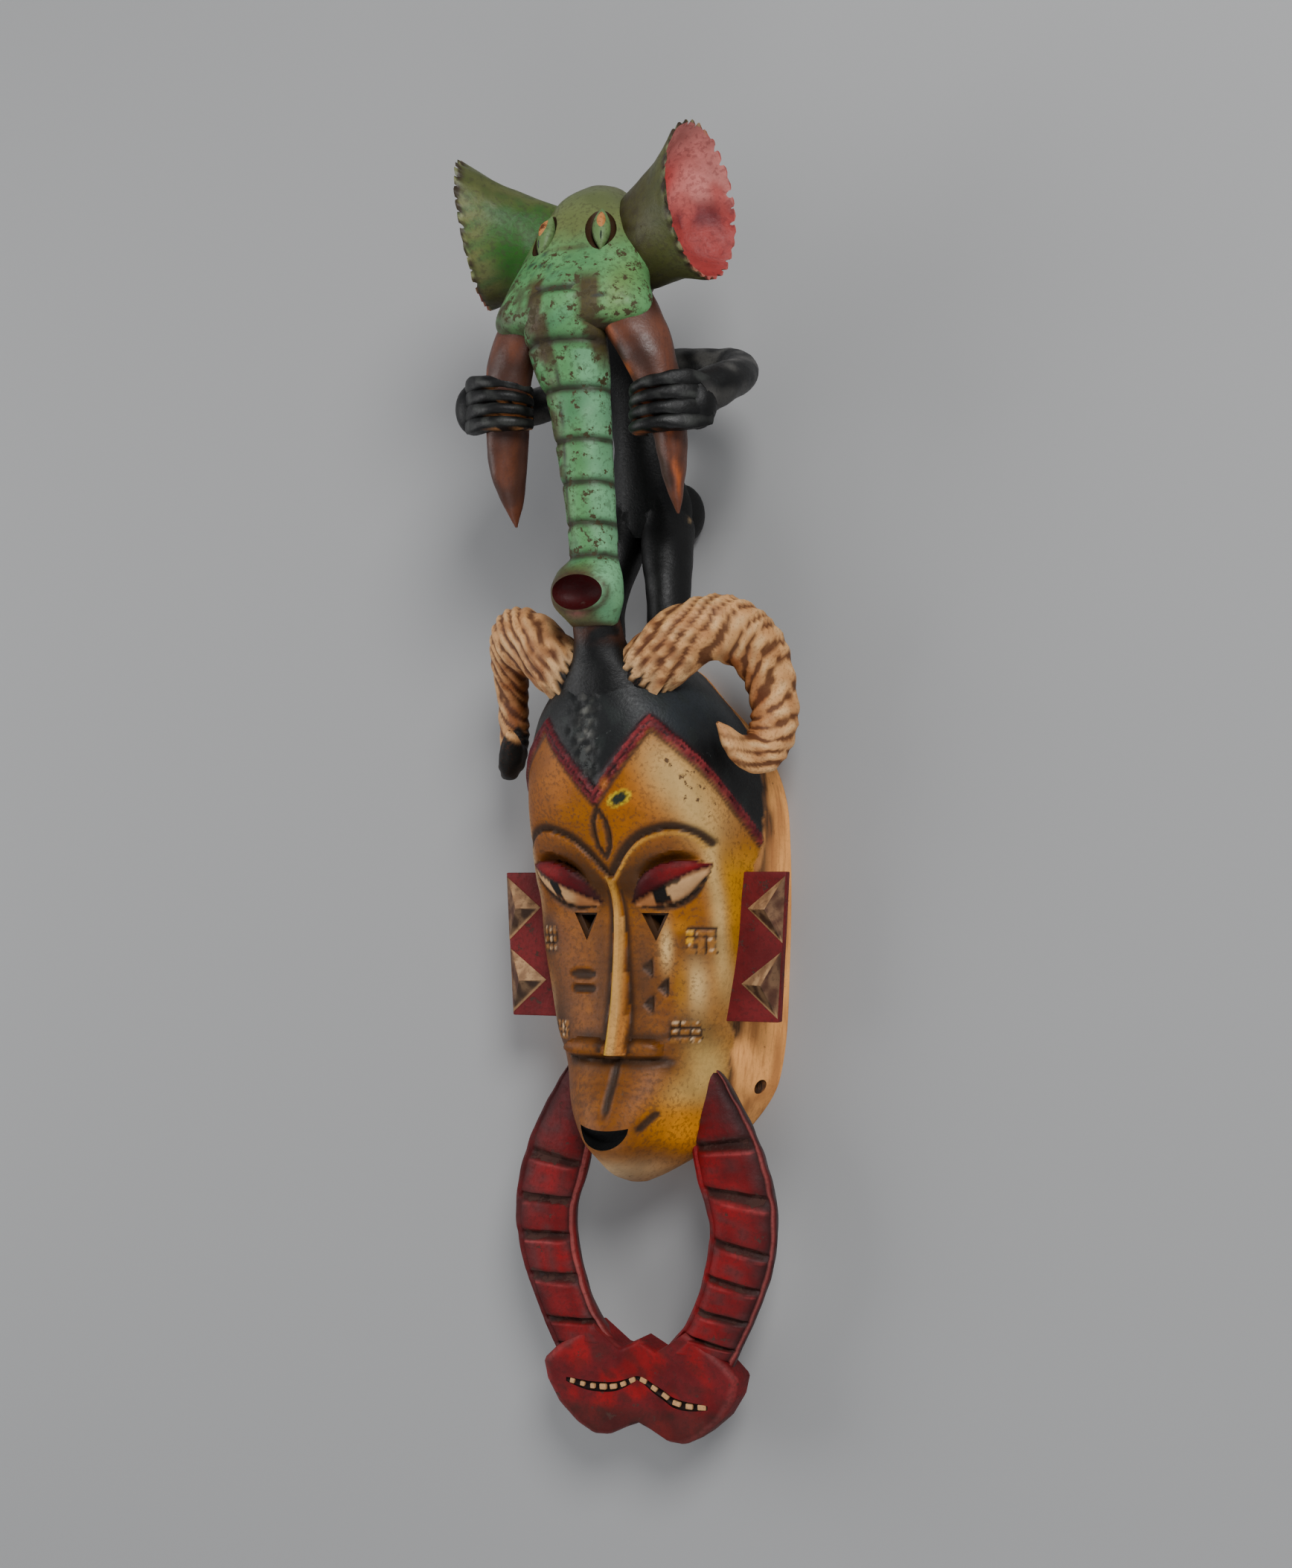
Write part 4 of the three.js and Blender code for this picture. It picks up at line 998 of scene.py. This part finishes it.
def snake(side):
    outer = spline([(45, -148, 0), (60, -170, 0), (75, -198, 0), (84, -234, 0), (81, -264, 0), (71, -291, 0),
                    (56, -322, 0)])[0]
    inner = spline([(38, -160, 0), (32, -190, 0), (35, -212, 0), (43, -240, 0), (40, -268, 0), (29, -297, 0),
                    (12, -317, 0)])[0]
    share = np.linspace(0.003, 0.994, 161)
    steps, later = SNAKE_STEPS[side]
    behind = share + later * fade(share, 0, 0.15) * (1 - fade(share, 0.84, 1))
    out, within = outer(behind)[:, None], inner(share)[:, None]
    # share across the back from its inner edge, height, how much the steps move it
    edge = [(0.14, 33, 0), (0.06, 38, 0), (0.0, 46.5, 0), (0.015, 48.6, 0.1), (0.05, 49.3, 0.1),
            (0.085, 48.3, 0.3), (0.13, 49.4, 0.8), (0.25, 51, 1), (0.4, 50.4, 1), (0.55, 49.6, 1),
            (0.7, 48.5, 1), (0.84, 46.9, 0.9), (0.905, 45.2, 0.35), (0.945, 46.0, 0.1), (0.98, 45.5, 0.1),
            (1.0, 43.6, 0), (0.96, 39, 0), (0.84, 33, 0)]
    t, rise, moved = (np.array(column_values)[None, :] for column_values in zip(*edge))
    part = np.interp(share, [-0.1, *steps, 1.15], np.arange(len(steps) + 2))[:, None] % 1
    lift = np.interp(part, [0, 0.03, 0.1, 0.22, 0.9, 0.97, 1], [-1.6, -2.6, -1.8, 0.9, 1.5, 1.1, -1.6])
    place = within + (out - within) * t[..., None]
    place[..., 2] = rise + moved * lift
    place[..., 0] *= side
    made = loft(place, red_paint, CRIMSON)

    def pad(values):
        return at_points(values, place)

    step = pad(np.interp(part, [0, 0.15, 0.23, 0.9, 0.96, 1], [1, 0.9, 0, 0, 0.5, 1]) * (t > 0.1) * (t < 0.9))
    made.brush((140, 14, 20), 0.8 * made.cloud(26, 90 + side, -0.4, 0.5))
    made.brush((62, 18, 20), 0.75 * pad(fade(t, 0.6, 0.9)) + 0.6 * pad((1 - fade(share, 0.1, 0.3))[:, None]))
    made.brush((84, 40, 40), 0.7 * made.cloud(14, 93 + side, 0.0, 0.8))
    # painted shade in each carved step
    made.brush((44, 28, 22), 0.92 * step)
    # painted highlight along each step's crest
    edge_share = np.exp(-((part - 0.26) / 0.03) ** 2) * fade(t, 0.15, 0.3) * (t < 0.9)
    made.brush((168, 66, 66), 0.75 * pad(edge_share) * made.cloud(12, 95, -0.5, 0.3))
    line = pad((t > 0.93) & (t < 0.97)) if side > 0 else pad((t > 0.01) & (t < 0.055))
    made.brush((160, 78, 74), 0.75 * line)
    # painted shade in the groove beside the border
    groove = pad(np.abs(t - 0.905) < 0.01) if side > 0 else pad(np.abs(t - 0.085) < 0.01)
    made.brush((40, 24, 24), 0.7 * groove)
    made.brush((70, 76, 76), 0.75 * pad(rise < 45.0))
    # dirt and painted shade in the steps
    made.grime_and_shade(0.3 * step)
    made.chip(0.3 * step + 0.16)
    return body("snake", made.rough_out(16, 0.3, 70))


HEAD_HALF = [(0, -309), (12, -315), (30, -302), (54, -318), (62.5, -326), (60, -337), (52, -350),
             (40, -360.5), (29, -366), (19, -365.5), (8, -360), (0, -356.8)]
MOUTHS = {1: [(0, -330.6), (4.4, -332.1), (10.5, -335.7), (16.7, -338.9), (22.5, -342.2), (30.7, -343.6),
              (44, -343.2)],
          -1: [(0, -330.6), (6, -333.6), (12.5, -336.4), (18.8, -337.7), (25.4, -338.1), (31.7, -338.1),
               (46, -335.8)]}


def snake_heads():
    corners = np.array(HEAD_HALF + [(-x, y) for x, y in HEAD_HALF[-2::-1]], float)
    way = np.r_[0, np.cumsum(np.hypot(*np.diff(corners, axis=0).T))]
    run = np.linspace(0, way[-1], 130, endpoint=False)
    rim = np.stack([np.interp(run, way, corners[:, 0]), np.interp(run, way, corners[:, 1]), 0 * run], axis=1)
    middle = np.array([0, HEAD_MIDDLE, 0])
    inset = [(1, SNAKE_BACK), (1, HEAD_FRONT - 4.5), (0.985, HEAD_FRONT - 2.2), (0.95, HEAD_FRONT - 0.7)]
    inset += [(0.91 - 0.045 * k, HEAD_FRONT) for k in range(20)]
    rings = np.array([middle + (rim - middle) * reach + [0, 0, z] for reach, z in inset])
    made = loft(rings[:, ::-1], red_paint, (104, 22, 26))
    x, y, z = made.points.T
    slow = drift(made.points, 24, 151)
    made.brush((148, 14, 18), 0.85 * fade(slow + spot(x, y, -6, -330, 26, 14), 0.0, 0.9))
    made.brush((72, 28, 24), 0.75 * fade(-y, 344, 352) + 0.5 * made.cloud(12, 152, 0.2, 0.8))
    made.brush((170, 80, 78), 0.5 * (np.hypot(x, y - HEAD_MIDDLE) > 24) * np.exp(-((z - 50.5) / 0.8) ** 2))
    made.grime_and_shade(0.1)
    made.chip(0.18)
    heads = body("heads", made)
    for side in (1, -1):
        mouth = spline([(x, y, 0) for x, y in MOUTHS[side]])[1]
        spots = mouth(np.linspace(0, 1, 34))
        half = 2.9 * np.sin(np.pi * np.linspace(0.03, 0.97, 34)) ** 0.4
        angle = np.linspace(0, 2 * np.pi, 12, endpoint=False)
        circle = np.stack([0 * angle, np.cos(angle), np.sin(angle)], axis=1)
        rings = spots[:, None] + circle * half[:, None, None]
        rings[..., 2] = rings[..., 2] * 0.75 + HEAD_FRONT - 0.2
        work(heads, body("mouth", loft(rings * [side, 1, 1], red_paint, (26, 12, 10))), "DIFFERENCE")
        count = 7 if side < 0 else 6
        draw = np.random.default_rng(160 + side)
        for k in range(count):
            share = 0.08 + 0.84 * k / (count - 1)
            x, y, _ = mouth(share)
            ahead = mouth(share + 0.01) - mouth(share - 0.01)
            bpy.ops.mesh.primitive_cube_add(size=1)
            tooth = bpy.context.object
            length = (4.8 if side > 0 else 3.8) * draw.uniform(0.7, 1.1)
            size = Vector((length, draw.uniform(2.6, 3.4), 4.2)) * MM
            lean = Matrix.Rotation(math.atan2(ahead[1], side * ahead[0]) if side > 0
                                   else -math.atan2(ahead[1], ahead[0]), 4, "Z")
            tooth.data.transform(put_at((side * x, y, HEAD_FRONT - 2.2)) @ lean @ Matrix.Diagonal((*size, 1)))
            soften(tooth, 0.5)
            dress(tooth, horn_paint, (200, 152, 104), (0.0, 0.0, 0))
            work(heads, tooth)
    return heads


# Figure, arms and hands

def figure():
    torso = column([
        (157, 0, 37, 17, 14), (166, 0, 35, 25, 19), (178, 0, 34, 26, 21), (193, 0, 37, 22, 19),
        (215, 0, 42, 19, 17), (240, 0, 47, 22, 18), (258, 0, 53, 27, 19), (275, 0, 68, 20, 22),
        (300, 0, 95, 16, 22)],
        np.linspace(157, 300, 44), 36, black_paint, BLACK)
    parts = [body("torso", torso.rough_out(22, 0.5, 80))]
    for side in (1, -1):
        leg = column([
            (70, side * 19, 54, 12, 14), (92, side * 21, 54, 12.5, 14), (120, side * 20.5, 53, 12.5, 14.5),
            (150, side * 16, 44, 15, 18), (168, side * 13, 36, 14, 19), (190, side * 9, 38, 10, 14)],
            np.linspace(70, 190, 40), 28, black_paint, BLACK)
        scrape = spot(leg.points[:, 0], leg.points[:, 1], side * 28, 168, 2, 1.5)
        leg.brush((206, 170, 120), fade(scrape, 0.5, 0.8))
        parts.append(body("leg", leg.rough_out(18, 0.4, 82)))
        buttock = egg("buttock", (13.5, 18, 18), (side * 13, 176, 17.5), (0.15, 0, 0), black_paint, BLACK)
        for vertex in buttock.data.vertices:
            vertex.co.z = max(vertex.co.z, 0)
        parts.append(buttock)
    return joined(parts)


ARM_LINES = {
    1: [(16, 256, 50), (44, 254, 50), (66, 249, 60), (76, 239, 80), (76, 230, 102), (66, 219, 118)],
    -1: [(-17, 254, 50), (-46, 247, 50), (-69, 239, 60), (-80, 233, 80), (-80, 229, 102), (-69, 227, 118)]}


def arm(side):
    radii = [(0, 12), (0.3, 11), (0.7, 10.5), (0.9, 12), (1, 13)]
    made = sweep(ARM_LINES[side], radii, 52, 26, black_paint, BLACK)
    # painted sheen on the black arm
    made.brush((92, 90, 86), 0.6 * made.cloud(16, 50, -0.4, 0.8))
    return body("arm", made.rough_out(14, 0.35, 84))


HAND_LINE = [(74, 117), (64, 131), (50, 137), (39, 133.5), (33.5, 122)]
HAND_HEIGHT = {1: 216.0, -1: 226.0}


def hand(side):
    even = spline([(x, 0, z) for x, z in HAND_LINE])[1]
    share = np.linspace(0, 1, 30)
    spots = even(share)
    way = np.gradient(spots, axis=0)
    out = np.stack([way[:, 2], 0 * share, -way[:, 0]], axis=1)
    out /= np.linalg.norm(out, axis=1, keepdims=True)
    half = profile([(0, 13), (0.25, 16), (0.5, 15.5), (0.75, 14.5), (1, 12)])(share)
    knuckle = profile([(0, 4.0), (0.25, 4.4), (0.75, 4.2), (0.93, 3.8), (1, 2.2)])(share)
    across = np.linspace(1, -1, 41)
    fingers = np.abs(np.sin(2 * np.pi * across)) ** 0.45
    split = fade(share, 0.3, 0.6)[:, None]
    lift = 0.6 + (1 - (0.2 + 0.7 * split) * (1 - fingers[None, :])) * knuckle[:, None]
    rise = across[None, :] * half[:, None]
    front = spots[:, None] + out[:, None] * lift[..., None]
    front[..., 1] = HAND_HEIGHT[side] - 4 * share[:, None] + rise
    back = [front[:, -1:] - out[:, None] * 6.6, front[:, :1] - out[:, None] * 6.6]
    rings = np.concatenate([front, *back], axis=1) * [side, 1, 1]
    made = loft(rings, black_paint, BLACK)

    def pad(values):
        return at_points(values, rings)

    between = pad(np.r_[1 - fade(fingers, 0.2, 0.6), 0, 0][None, :] * fade(share, 0.45, 0.7)[:, None])
    bare = (204, 140, 84) if side < 0 else (150, 84, 46)
    made.brush(bare, 0.85 * between * made.cloud(7, 9, -0.5, 0.2))
    # painted sheen on the fingers
    made.brush((70, 72, 68), 0.5 * pad(np.r_[fingers, 0, 0][None, :]) * made.cloud(9, 10, -0.2, 0.8))
    place = (68 if side > 0 else -72, HAND_HEIGHT[side], 119)
    palm = egg("palm", (11, 15, 11), place, (0, side * 0.7, 0), black_paint, BLACK)
    return work(palm, body("fingers", made.rough_out(10, 0.25, 86)))


# Elephant

TRUNK_GROOVES = (277, 250, 226, 199, 176, 154, 136)


def beside_trunk(points):
    """Where the paint is brown in the furrows on both sides of the trunk's root."""
    x, y, _ = points.T
    lean = 0.12 * (y - 265)
    bands = np.exp(-((x - 19.5 + lean) / 6.5) ** 4) + np.exp(-((x + 11.5 + lean) / 5.5) ** 4)
    ragged = np.clip(bands, 0, 1) + 0.3 * drift(points, 8, 14)
    return fade(ragged, 0.3, 0.6) * fade(y, 228, 246) * (1 - fade(y, 280, 290))


def elephant_head():
    stations = [
        (256, 0, 135, 30, 14), (261, 0, 136, 44, 20), (270, 0, 135, 47, 23), (285, 0, 129, 42.5, 25),
        (303, 0, 121.5, 37.5, 23.5), (318, 0, 116.5, 32, 22), (333, 0, 110, 25.5, 19.5),
        (343, 0, 104, 19, 16.5), (349.5, 0, 99, 10, 10), (351.5, 0, 98, 3, 3)]
    levels = np.r_[256, 256.6, 257.4, np.linspace(259, 341, 56), 343, 345, 347, 349, 350.5, 351.5]
    made = column(stations, levels, 72, green_paint, TURQUOISE)
    x, y, z = made.points.T
    front = fade(z, 108, 122)
    crown = fade(y + 0.25 * drift(made.points, 12, 15) * 10, 296, 318)
    made.brush(OLIVE, 0.9 * crown)
    made.brush((100, 110, 70), 0.6 * fade(y, 322, 338))
    made.brush((66, 54, 30), 0.8 * (1 - front) * (1 - 0.5 * crown))
    made.brush((112, 128, 60), 0.6 * spot(x, y, 34, 275, 8, 20) * front)
    made.brush((72, 54, 28), 0.93 * beside_trunk(made.points))
    left_cheek = fade(-x, 17, 24) * (1 - fade(y, 278, 290))
    made.brush((72, 60, 42), 0.75 * left_cheek * made.cloud(12, 17, -0.4, 0.1))
    cracks = 0.9 * spot(x, y, 4, 277, 13, 2.2) + 0.8 * spot(x, y, 2, 303, 14, 1.3)
    made.brush((84, 66, 42), cracks * front)
    dark_flakes = made.cloud(9, 18, 0.3, 0.45) * (spot(x, y, -12, 297, 20, 9) + spot(x, y, 25, 270, 6, 5))
    made.brush((34, 46, 50), 0.92 * np.clip(dark_flakes, 0, 1) * front)
    left_side = fade(-x, 26, 36) * made.cloud(10, 19, -0.3, 0.3)
    made.brush((58, 44, 32), 0.8 * (1 - fade(y, 256, 260)) + 0.7 * left_side)
    made.grime_and_shade(0.25 * (y < 260))
    made.chip(0.26 * front * (1 - crown) + 0.06)
    skull = body("skull", made.rough_out(20, 0.4, 100))
    back = egg("nape", (33, 36, 30), (0, 310, 98), (0.2, 0, 0), green_paint, (84, 84, 54), (0.2, 0.2, 0), 48)
    return work(skull, back)


EAR_SIDES = 120


def cupped_ear(side):
    """Two bodies: the funnel with its toothed rim, and the bowl that is cut out of it."""
    rim = [np.array(v, float) for v in ((72.5, 327, 122), (2, 40.5, 11.5), (7.5, 0, -32.5))]
    root = [np.array(v, float) for v in ((26, 312, 110), (-5, 28, -3), (3, 0, -17))]
    angle = np.linspace(0, 2 * np.pi, EAR_SIDES, endpoint=False)
    teeth = np.abs(np.sin(15 * angle + 0.3 * np.sin(4 * angle)))

    def rings(spots, notch):
        made = []
        for t, size, cut in zip(*spots, notch):
            centre, tall, wide = (a + (b - a) * t for a, b in zip(root, rim))
            reach = (size * (1 - 0.07 * cut * (1 - teeth)))[:, None]
            rise, spread = reach * np.cos(angle)[:, None], reach * np.sin(angle)[:, None]
            made.append(centre + tall * rise + wide * spread)
        return np.array(made) * [side, 1, 1]

    t = np.r_[np.linspace(0, 0.9, 22), 0.925, 0.95, 0.97]
    swell = profile([(0, 1), (0.55, 0.92), (0.97, 1)])(t)
    cup = loft(rings((t, swell), fade(t, 0.86, 0.96)), green_paint, OLIVE)
    x, y, z = cup.points.T
    far = fade(np.abs(x), 30, 70)
    streak = fade(drift(cup.points * [0.5, 1, 1], 9, 33), -0.4, 0.8)
    if side < 0:
        cup.brush((76, 84, 40), 0.7 * fade(y, 326, 350) + 0.3 * streak)
        cup.brush((56, 106, 56), 0.5 * streak * (1 - fade(y, 330, 350)))
        near_head = (1 - fade(np.abs(x), 42, 60)) * fade(y, 280, 300) * (1 - fade(y, 328, 345))
        cup.brush((24, 84, 12), 0.92 * near_head)
        cup.brush((56, 46, 28), 0.75 * (1 - fade(y, 284, 302)) * fade(np.abs(x), 30, 60))
    else:
        cup.brush((56, 48, 20), 0.85 * (1 - 0.6 * far) + 0.2 * streak)
        cup.brush((96, 104, 66), 0.5 * far * streak)
    depth = np.r_[np.broadcast_to(t[:, None], (len(t), EAR_SIDES)).ravel(), 0, 1]
    cup.brush((48, 28, 24), 0.85 * fade(depth, 0.87, 0.92) * cup.cloud(6, 35, -0.5, 0.2))
    cup.brush((150, 152, 108), 0.6 * fade(depth, 0.9, 0.95) * fade(-drift(cup.points, 6, 35), 0.2, 0.5))
    cup.brush((190, 84, 80), 0.9 * fade(depth, 0.94, 0.96) * fade(side * x - 0.1 * (y - 322), 66, 74))
    cup.chip(0.08)
    t = np.linspace(0.5, 1.05, 18)
    swell = profile([(0.5, 0.45), (0.6, 0.66), (0.74, 0.83), (0.97, 0.955), (1.05, 0.99)])(t)
    bowl = loft(rings((t, swell), 0 * t), pink_paint, (160, 58, 54))
    x, y, z = bowl.points.T
    cloud = drift(bowl.points, 16, 36)
    bowl.brush((212, 132, 124), 0.85 * fade(y + 8 * cloud, 330, 342) + 0.5 * spot(y, z, 336, 112, 10, 16))
    bowl.brush((216, 56, 56), 0.85 * spot(y, z, 338, 124, 12, 9))
    bowl.brush((96, 36, 42), 0.9 * spot(y, z, 326, 100, 8, 14) * fade(cloud, -0.7, 0.3))
    bowl.brush((150, 50, 48), 0.6 * (1 - fade(y, 300, 318)))
    bowl.brush((46, 16, 18), 0.9 * spot(y, z, 326, 118, 2, 7) + 0.6 * spot(y, z, 318, 112, 5, 2.5))
    return body("ear", cup.rough_out(16, 0.4, 110)), body("bowl", bowl.rough_out(12, 0.5, 112))


def elephant_trunk():
    stations = [
        (97, 0, 108, 12, 12), (108, 0, 116, 19.5, 17), (118, 0, 118, 21, 18), (127, 0, 115, 18.5, 16),
        (135, 0, 110, 14.5, 14), (152, 0, 111.5, 14, 14), (183, 0, 118, 15.5, 14),
        (222, -1.5, 125.5, 18.5, 15), (243, -2.5, 134, 23, 15.5), (262, -2.5, 142, 23.5, 18),
        (279, -1, 140.5, 21.5, 19), (292, 0, 133, 15, 17)]

    def cut(y, angle):
        depth = sum(np.exp(-np.abs((y - groove - 0.8 * np.sin(3 * angle + groove)) / 1.5) ** 1.6)
                    for groove in TRUNK_GROOVES)
        return 1 - 0.1 * depth * fade(np.sin(angle), -0.05, 0.35)

    made = column(stations, np.linspace(97, 292, 136), 44, green_paint, TURQUOISE, cut)
    x, y, z = made.points.T
    left = fade(-x, 3, 13)
    made.brush((78, 134, 96), 0.5 * made.cloud(24, 120, -0.2, 0.8))
    # painted highlight on the lit right side of the trunk
    made.brush((124, 184, 140), 0.6 * fade(x, 2, 11) * (y < 245))
    # painted shade down the left side, over tone that wavers at random
    made.brush((82, 62, 40), 0.8 * left * made.cloud(13, 121, -0.5, 0.3))
    made.brush((72, 54, 28), 0.93 * beside_trunk(made.points))
    groove = sum(np.exp(-((y - g) / 2.6) ** 2) for g in TRUNK_GROOVES)
    # painted shade in the grooves
    made.brush((36, 28, 18), 0.92 * np.clip(groove, 0, 1))
    made.brush((44, 34, 26), 0.9 * np.exp(-((x + 4.5 + 0.05 * (240 - y)) / 0.8) ** 2) * (y > 150) * (z > 110))
    # painted shade over the bulb, deepest on its left
    bulb = 1 - fade(y, 126, 134)
    made.brush((84, 80, 44), 0.8 * bulb * (1 - fade(x, 6, 14)))
    made.brush((60, 44, 26), 0.65 * bulb * spot(x, y, -6, 121, 12, 8))
    lip = np.hypot(x / 16, (y - 114) / 10) - 1.08
    made.brush((72, 50, 34), 0.85 * np.exp(-(lip / 0.1) ** 2) * (z > 118))
    made.brush((150, 88, 84), 0.7 * spot(x, y, -2, 102.5, 6, 2) * (z > 118))
    made.brush((64, 40, 26), 0.85 * (1 - fade(y, 97, 101)))
    # dirt and painted shade in the grooves
    made.grime_and_shade(0.4 * np.clip(groove, 0, 1))
    made.chip(0.3 + 0.06 * left - 0.2 * bulb)
    return body("trunk", made.rough_out(15, 0.3, 122))


def tusk(side):
    made = column([
        (158, side * 51, 107, 0.7, 0.7), (170, side * 51, 111, 4.5, 6.5), (187, side * 51.5, 115.5, 8, 11.5),
        (215, side * 49.5, 120.5, 11, 13), (242, side * 43, 130, 15.5, 12), (264, side * 34, 132.5, 18, 11),
        (288, side * 25, 124, 12, 12)], np.linspace(158, 288, 84), 32, tusk_paint, RUSSET, None, side * -0.44)
    x, y, z = made.points.T
    made.brush((58, 34, 24), 0.8 * fade(drift(made.points * [1, 0.4, 1], 20, 130), -0.3, 0.6))
    middle = np.interp(y, [158, 215, 242, 264, 288], [51, 50, 44, 35, 25])
    bright = np.exp(-((side * x - middle + (11.5 if side > 0 else -8)) / 2.4) ** 2) * (z > 112) * (y > 222)
    bright = bright + np.exp(-((x - 56) / 1.6) ** 2) * (y < 215) * (y > 165) * (z > 112) * (side > 0)
    made.brush(ORANGE, 0.8 * bright * fade(drift(made.points * [1, 0.4, 1], 14, 132), -0.6, 0.4))
    made.brush((60, 34, 26), 0.6 * fade(y, 262, 272))
    made.chip(0.08)
    return body("tusk", made.rough_out(15, 0.3, 134))


def elephant():
    head = elephant_head()
    work(head, body("foot", foot_part()))
    work(head, elephant_trunk())
    for side in (1, -1):
        cup, bowl = cupped_ear(side)
        work(head, work(cup, bowl, "DIFFERENCE"))
    for side in (1, -1):
        place = Vector((side * 17.5, 314, 136.5))
        turn = (-0.36, side * 0.45, side * 0.12)
        work(head, lens("socket", (8.8, 18.5, 5.0), place, turn, green_paint, (62, 42, 24)), "DIFFERENCE")
        ball = place - Vector((side * 0.3, -0.2, 1.4))
        work(head, lens("eye", (5.2, 14, 4.6), ball, turn, green_paint, (98, 126, 76), (0.2, 0, 0)))
        worn = ball + Vector((-side * 0.3, 2.6, -0.2))
        work(head, lens("worn spot", (3.2, 9, 5.1), worn, turn, horn_paint, (188, 124, 70), (0.3, 0, 0)))
        pupil = ball + Vector((side * 0.6, -4.6, 1.9))
        work(head, lens("slit", (0.8, 6, 4), pupil, turn, black_paint, (24, 34, 34)))
    mouth = egg("mouth", (16, 10, 14), (0, 114, 134), (0, 0, 0), red_paint, (60, 8, 10), (0.1, 0.1, 0), 40)
    work(head, mouth, "DIFFERENCE")
    return head


def foot_part():
    made = column([(50, 0, 93, 32, 17), (70, 0, 96, 24, 16), (84, 0, 99, 16, 16), (104, 0, 107, 13, 13)],
                  np.linspace(50, 104, 26), 40, black_paint, BLACK)
    y = made.points[:, 1]
    made.brush((84, 44, 24), 0.7 * fade(y, 84, 97) * made.cloud(12, 141, -0.7, 0.2))
    return made.rough_out(18, 0.4, 140)


# Cuts through or into the finished block

def cuts(block):
    work(block, hollow_body(), "DIFFERENCE")
    for side in (1, -1):
        for scale, low, high, place in ((1, 71.2, 90, -64), (0.58, 30, 92, -64.8)):
            # the slits' walls are painted dark brown: painted shade inside the slits
            slit = prism("slit", 3, 1, 1, face_paint, (70, 46, 28), (0, 0.2, 0))
            corners = [(-8, 1), (8, 1), (0, -15)]
            for vertex in slit.data.vertices:
                turn = round(math.atan2(vertex.co.x, vertex.co.y) / (2 * math.pi / 3)) % 3
                x, y = corners[turn]
                level = high if vertex.co.z > 0 else low
                vertex.co = Vector((side * 22 + x * scale, place + y * scale, level)) * MM
            straighten(slit)
            work(block, slit, "DIFFERENCE")
        # the tie hole's bore is painted dark: painted shade inside it
        hole = prism("tie hole", 28, 4.2, 60, raw_wood, (60, 42, 30))
        hole.data.transform(put_at((side * 66, -165, 13)) @ Matrix.Rotation(math.pi / 2, 4, "Y"))
        work(block, hole, "DIFFERENCE")
    mouth = prism("mouth", 56, 15.4, 12, black_paint, (16, 16, 16), (0, 0, 0))
    for vertex in mouth.data.vertices:
        vertex.co.y = min(vertex.co.y, 0) * 0.66
    straighten(mouth)
    mouth.data.transform(put_at((-1.5, -184.2, 96.4)) @ Matrix.Rotation(0.35, 4, "X"))
    work(block, mouth, "DIFFERENCE")
    return block


def straighten(made):
    """Merges what fell together and turns all faces outwards."""
    bpy.ops.object.select_all(action="DESELECT")
    made.select_set(True)
    bpy.context.view_layer.objects.active = made
    bpy.ops.object.mode_set(mode="EDIT")
    bpy.ops.mesh.select_all(action="SELECT")
    bpy.ops.mesh.remove_doubles(threshold=1e-6)
    bpy.ops.mesh.normals_make_consistent(inside=False)
    bpy.ops.object.mode_set(mode="OBJECT")


def carved_block():
    small = joined([snake(1), snake(-1), snake_heads(), mask_ear(1), mask_ear(-1)])
    upper = joined([figure(), arm(1), arm(-1), hand(1), hand(-1), tusk(1), tusk(-1), horn(1), horn(-1)])
    work(upper, elephant())
    block = joined([face_body(), small, upper])
    block.name = "carved_mask"
    block.data.name = "carved_mask"
    return cuts(block)


mask = carved_block()
bpy.ops.object.select_all(action="DESELECT")
mask.select_set(True)
bpy.context.view_layer.objects.active = mask
bpy.ops.object.shade_smooth_by_angle(angle=math.radians(CREASE))
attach(mask, "root")
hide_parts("mask")

# Floor, light and camera

bpy.ops.object.select_all(action="DESELECT")
bpy.ops.mesh.primitive_plane_add(size=6, location=(0, 0, -0.0002))
floor = bpy.context.object
floor.name = "floor"
ground = Finish("pale floor")
ground.feed("Base Color", (0.34, 0.34, 0.34, 1))
ground.feed("Roughness", 0.9)
floor.data.materials.append(ground.material)

TARGET = Vector((0, 12.5, 40)) * MM
YAW, PITCH, AWAY = math.radians(25), math.radians(-3), 1184 * MM
FOCAL_PIXELS, FRAME_PIXELS, SENSOR = 2695, 2107, 36
toward = Vector((math.sin(YAW) * math.cos(PITCH), math.sin(PITCH), math.cos(YAW) * math.cos(PITCH)))
right = Vector((math.cos(YAW), 0, -math.sin(YAW)))
bpy.ops.object.camera_add()
camera = bpy.context.object
camera.data.lens = SENSOR * FOCAL_PIXELS / FRAME_PIXELS
camera.matrix_world = Matrix.Translation(TARGET + AWAY * toward) @ Matrix(
    (right, toward.cross(right), toward)).transposed().to_4x4()
bpy.context.scene.camera = camera


def softbox(name, place, aim, size, power, colour=(1, 1, 1)):
    bpy.ops.object.light_add(type="AREA", location=place)
    lamp = bpy.context.object
    lamp.name = name
    lamp.data.shape, lamp.data.size, lamp.data.energy, lamp.data.color = "DISK", size, power, colour
    lamp.rotation_euler = (Vector(aim) - Vector(place)).to_track_quat("-Z", "Y").to_euler()


softbox("key", (0.95, 0.95, 1.45), (0, 0, 0.05), 0.8, 30)
softbox("fill", (-1.35, 0.1, 0.9), (-0.2, 0, 0.05), 1.2, 12)
softbox("low fill", (0.5, -1.5, 1.1), (0, -0.1, 0.05), 1.2, 8)
world = bpy.data.worlds.new("studio")
world.use_nodes = True
world.node_tree.nodes["Background"].inputs["Color"].default_value = (0.9, 0.93, 1, 1)
world.node_tree.nodes["Background"].inputs["Strength"].default_value = 0.35
bpy.context.scene.world = world
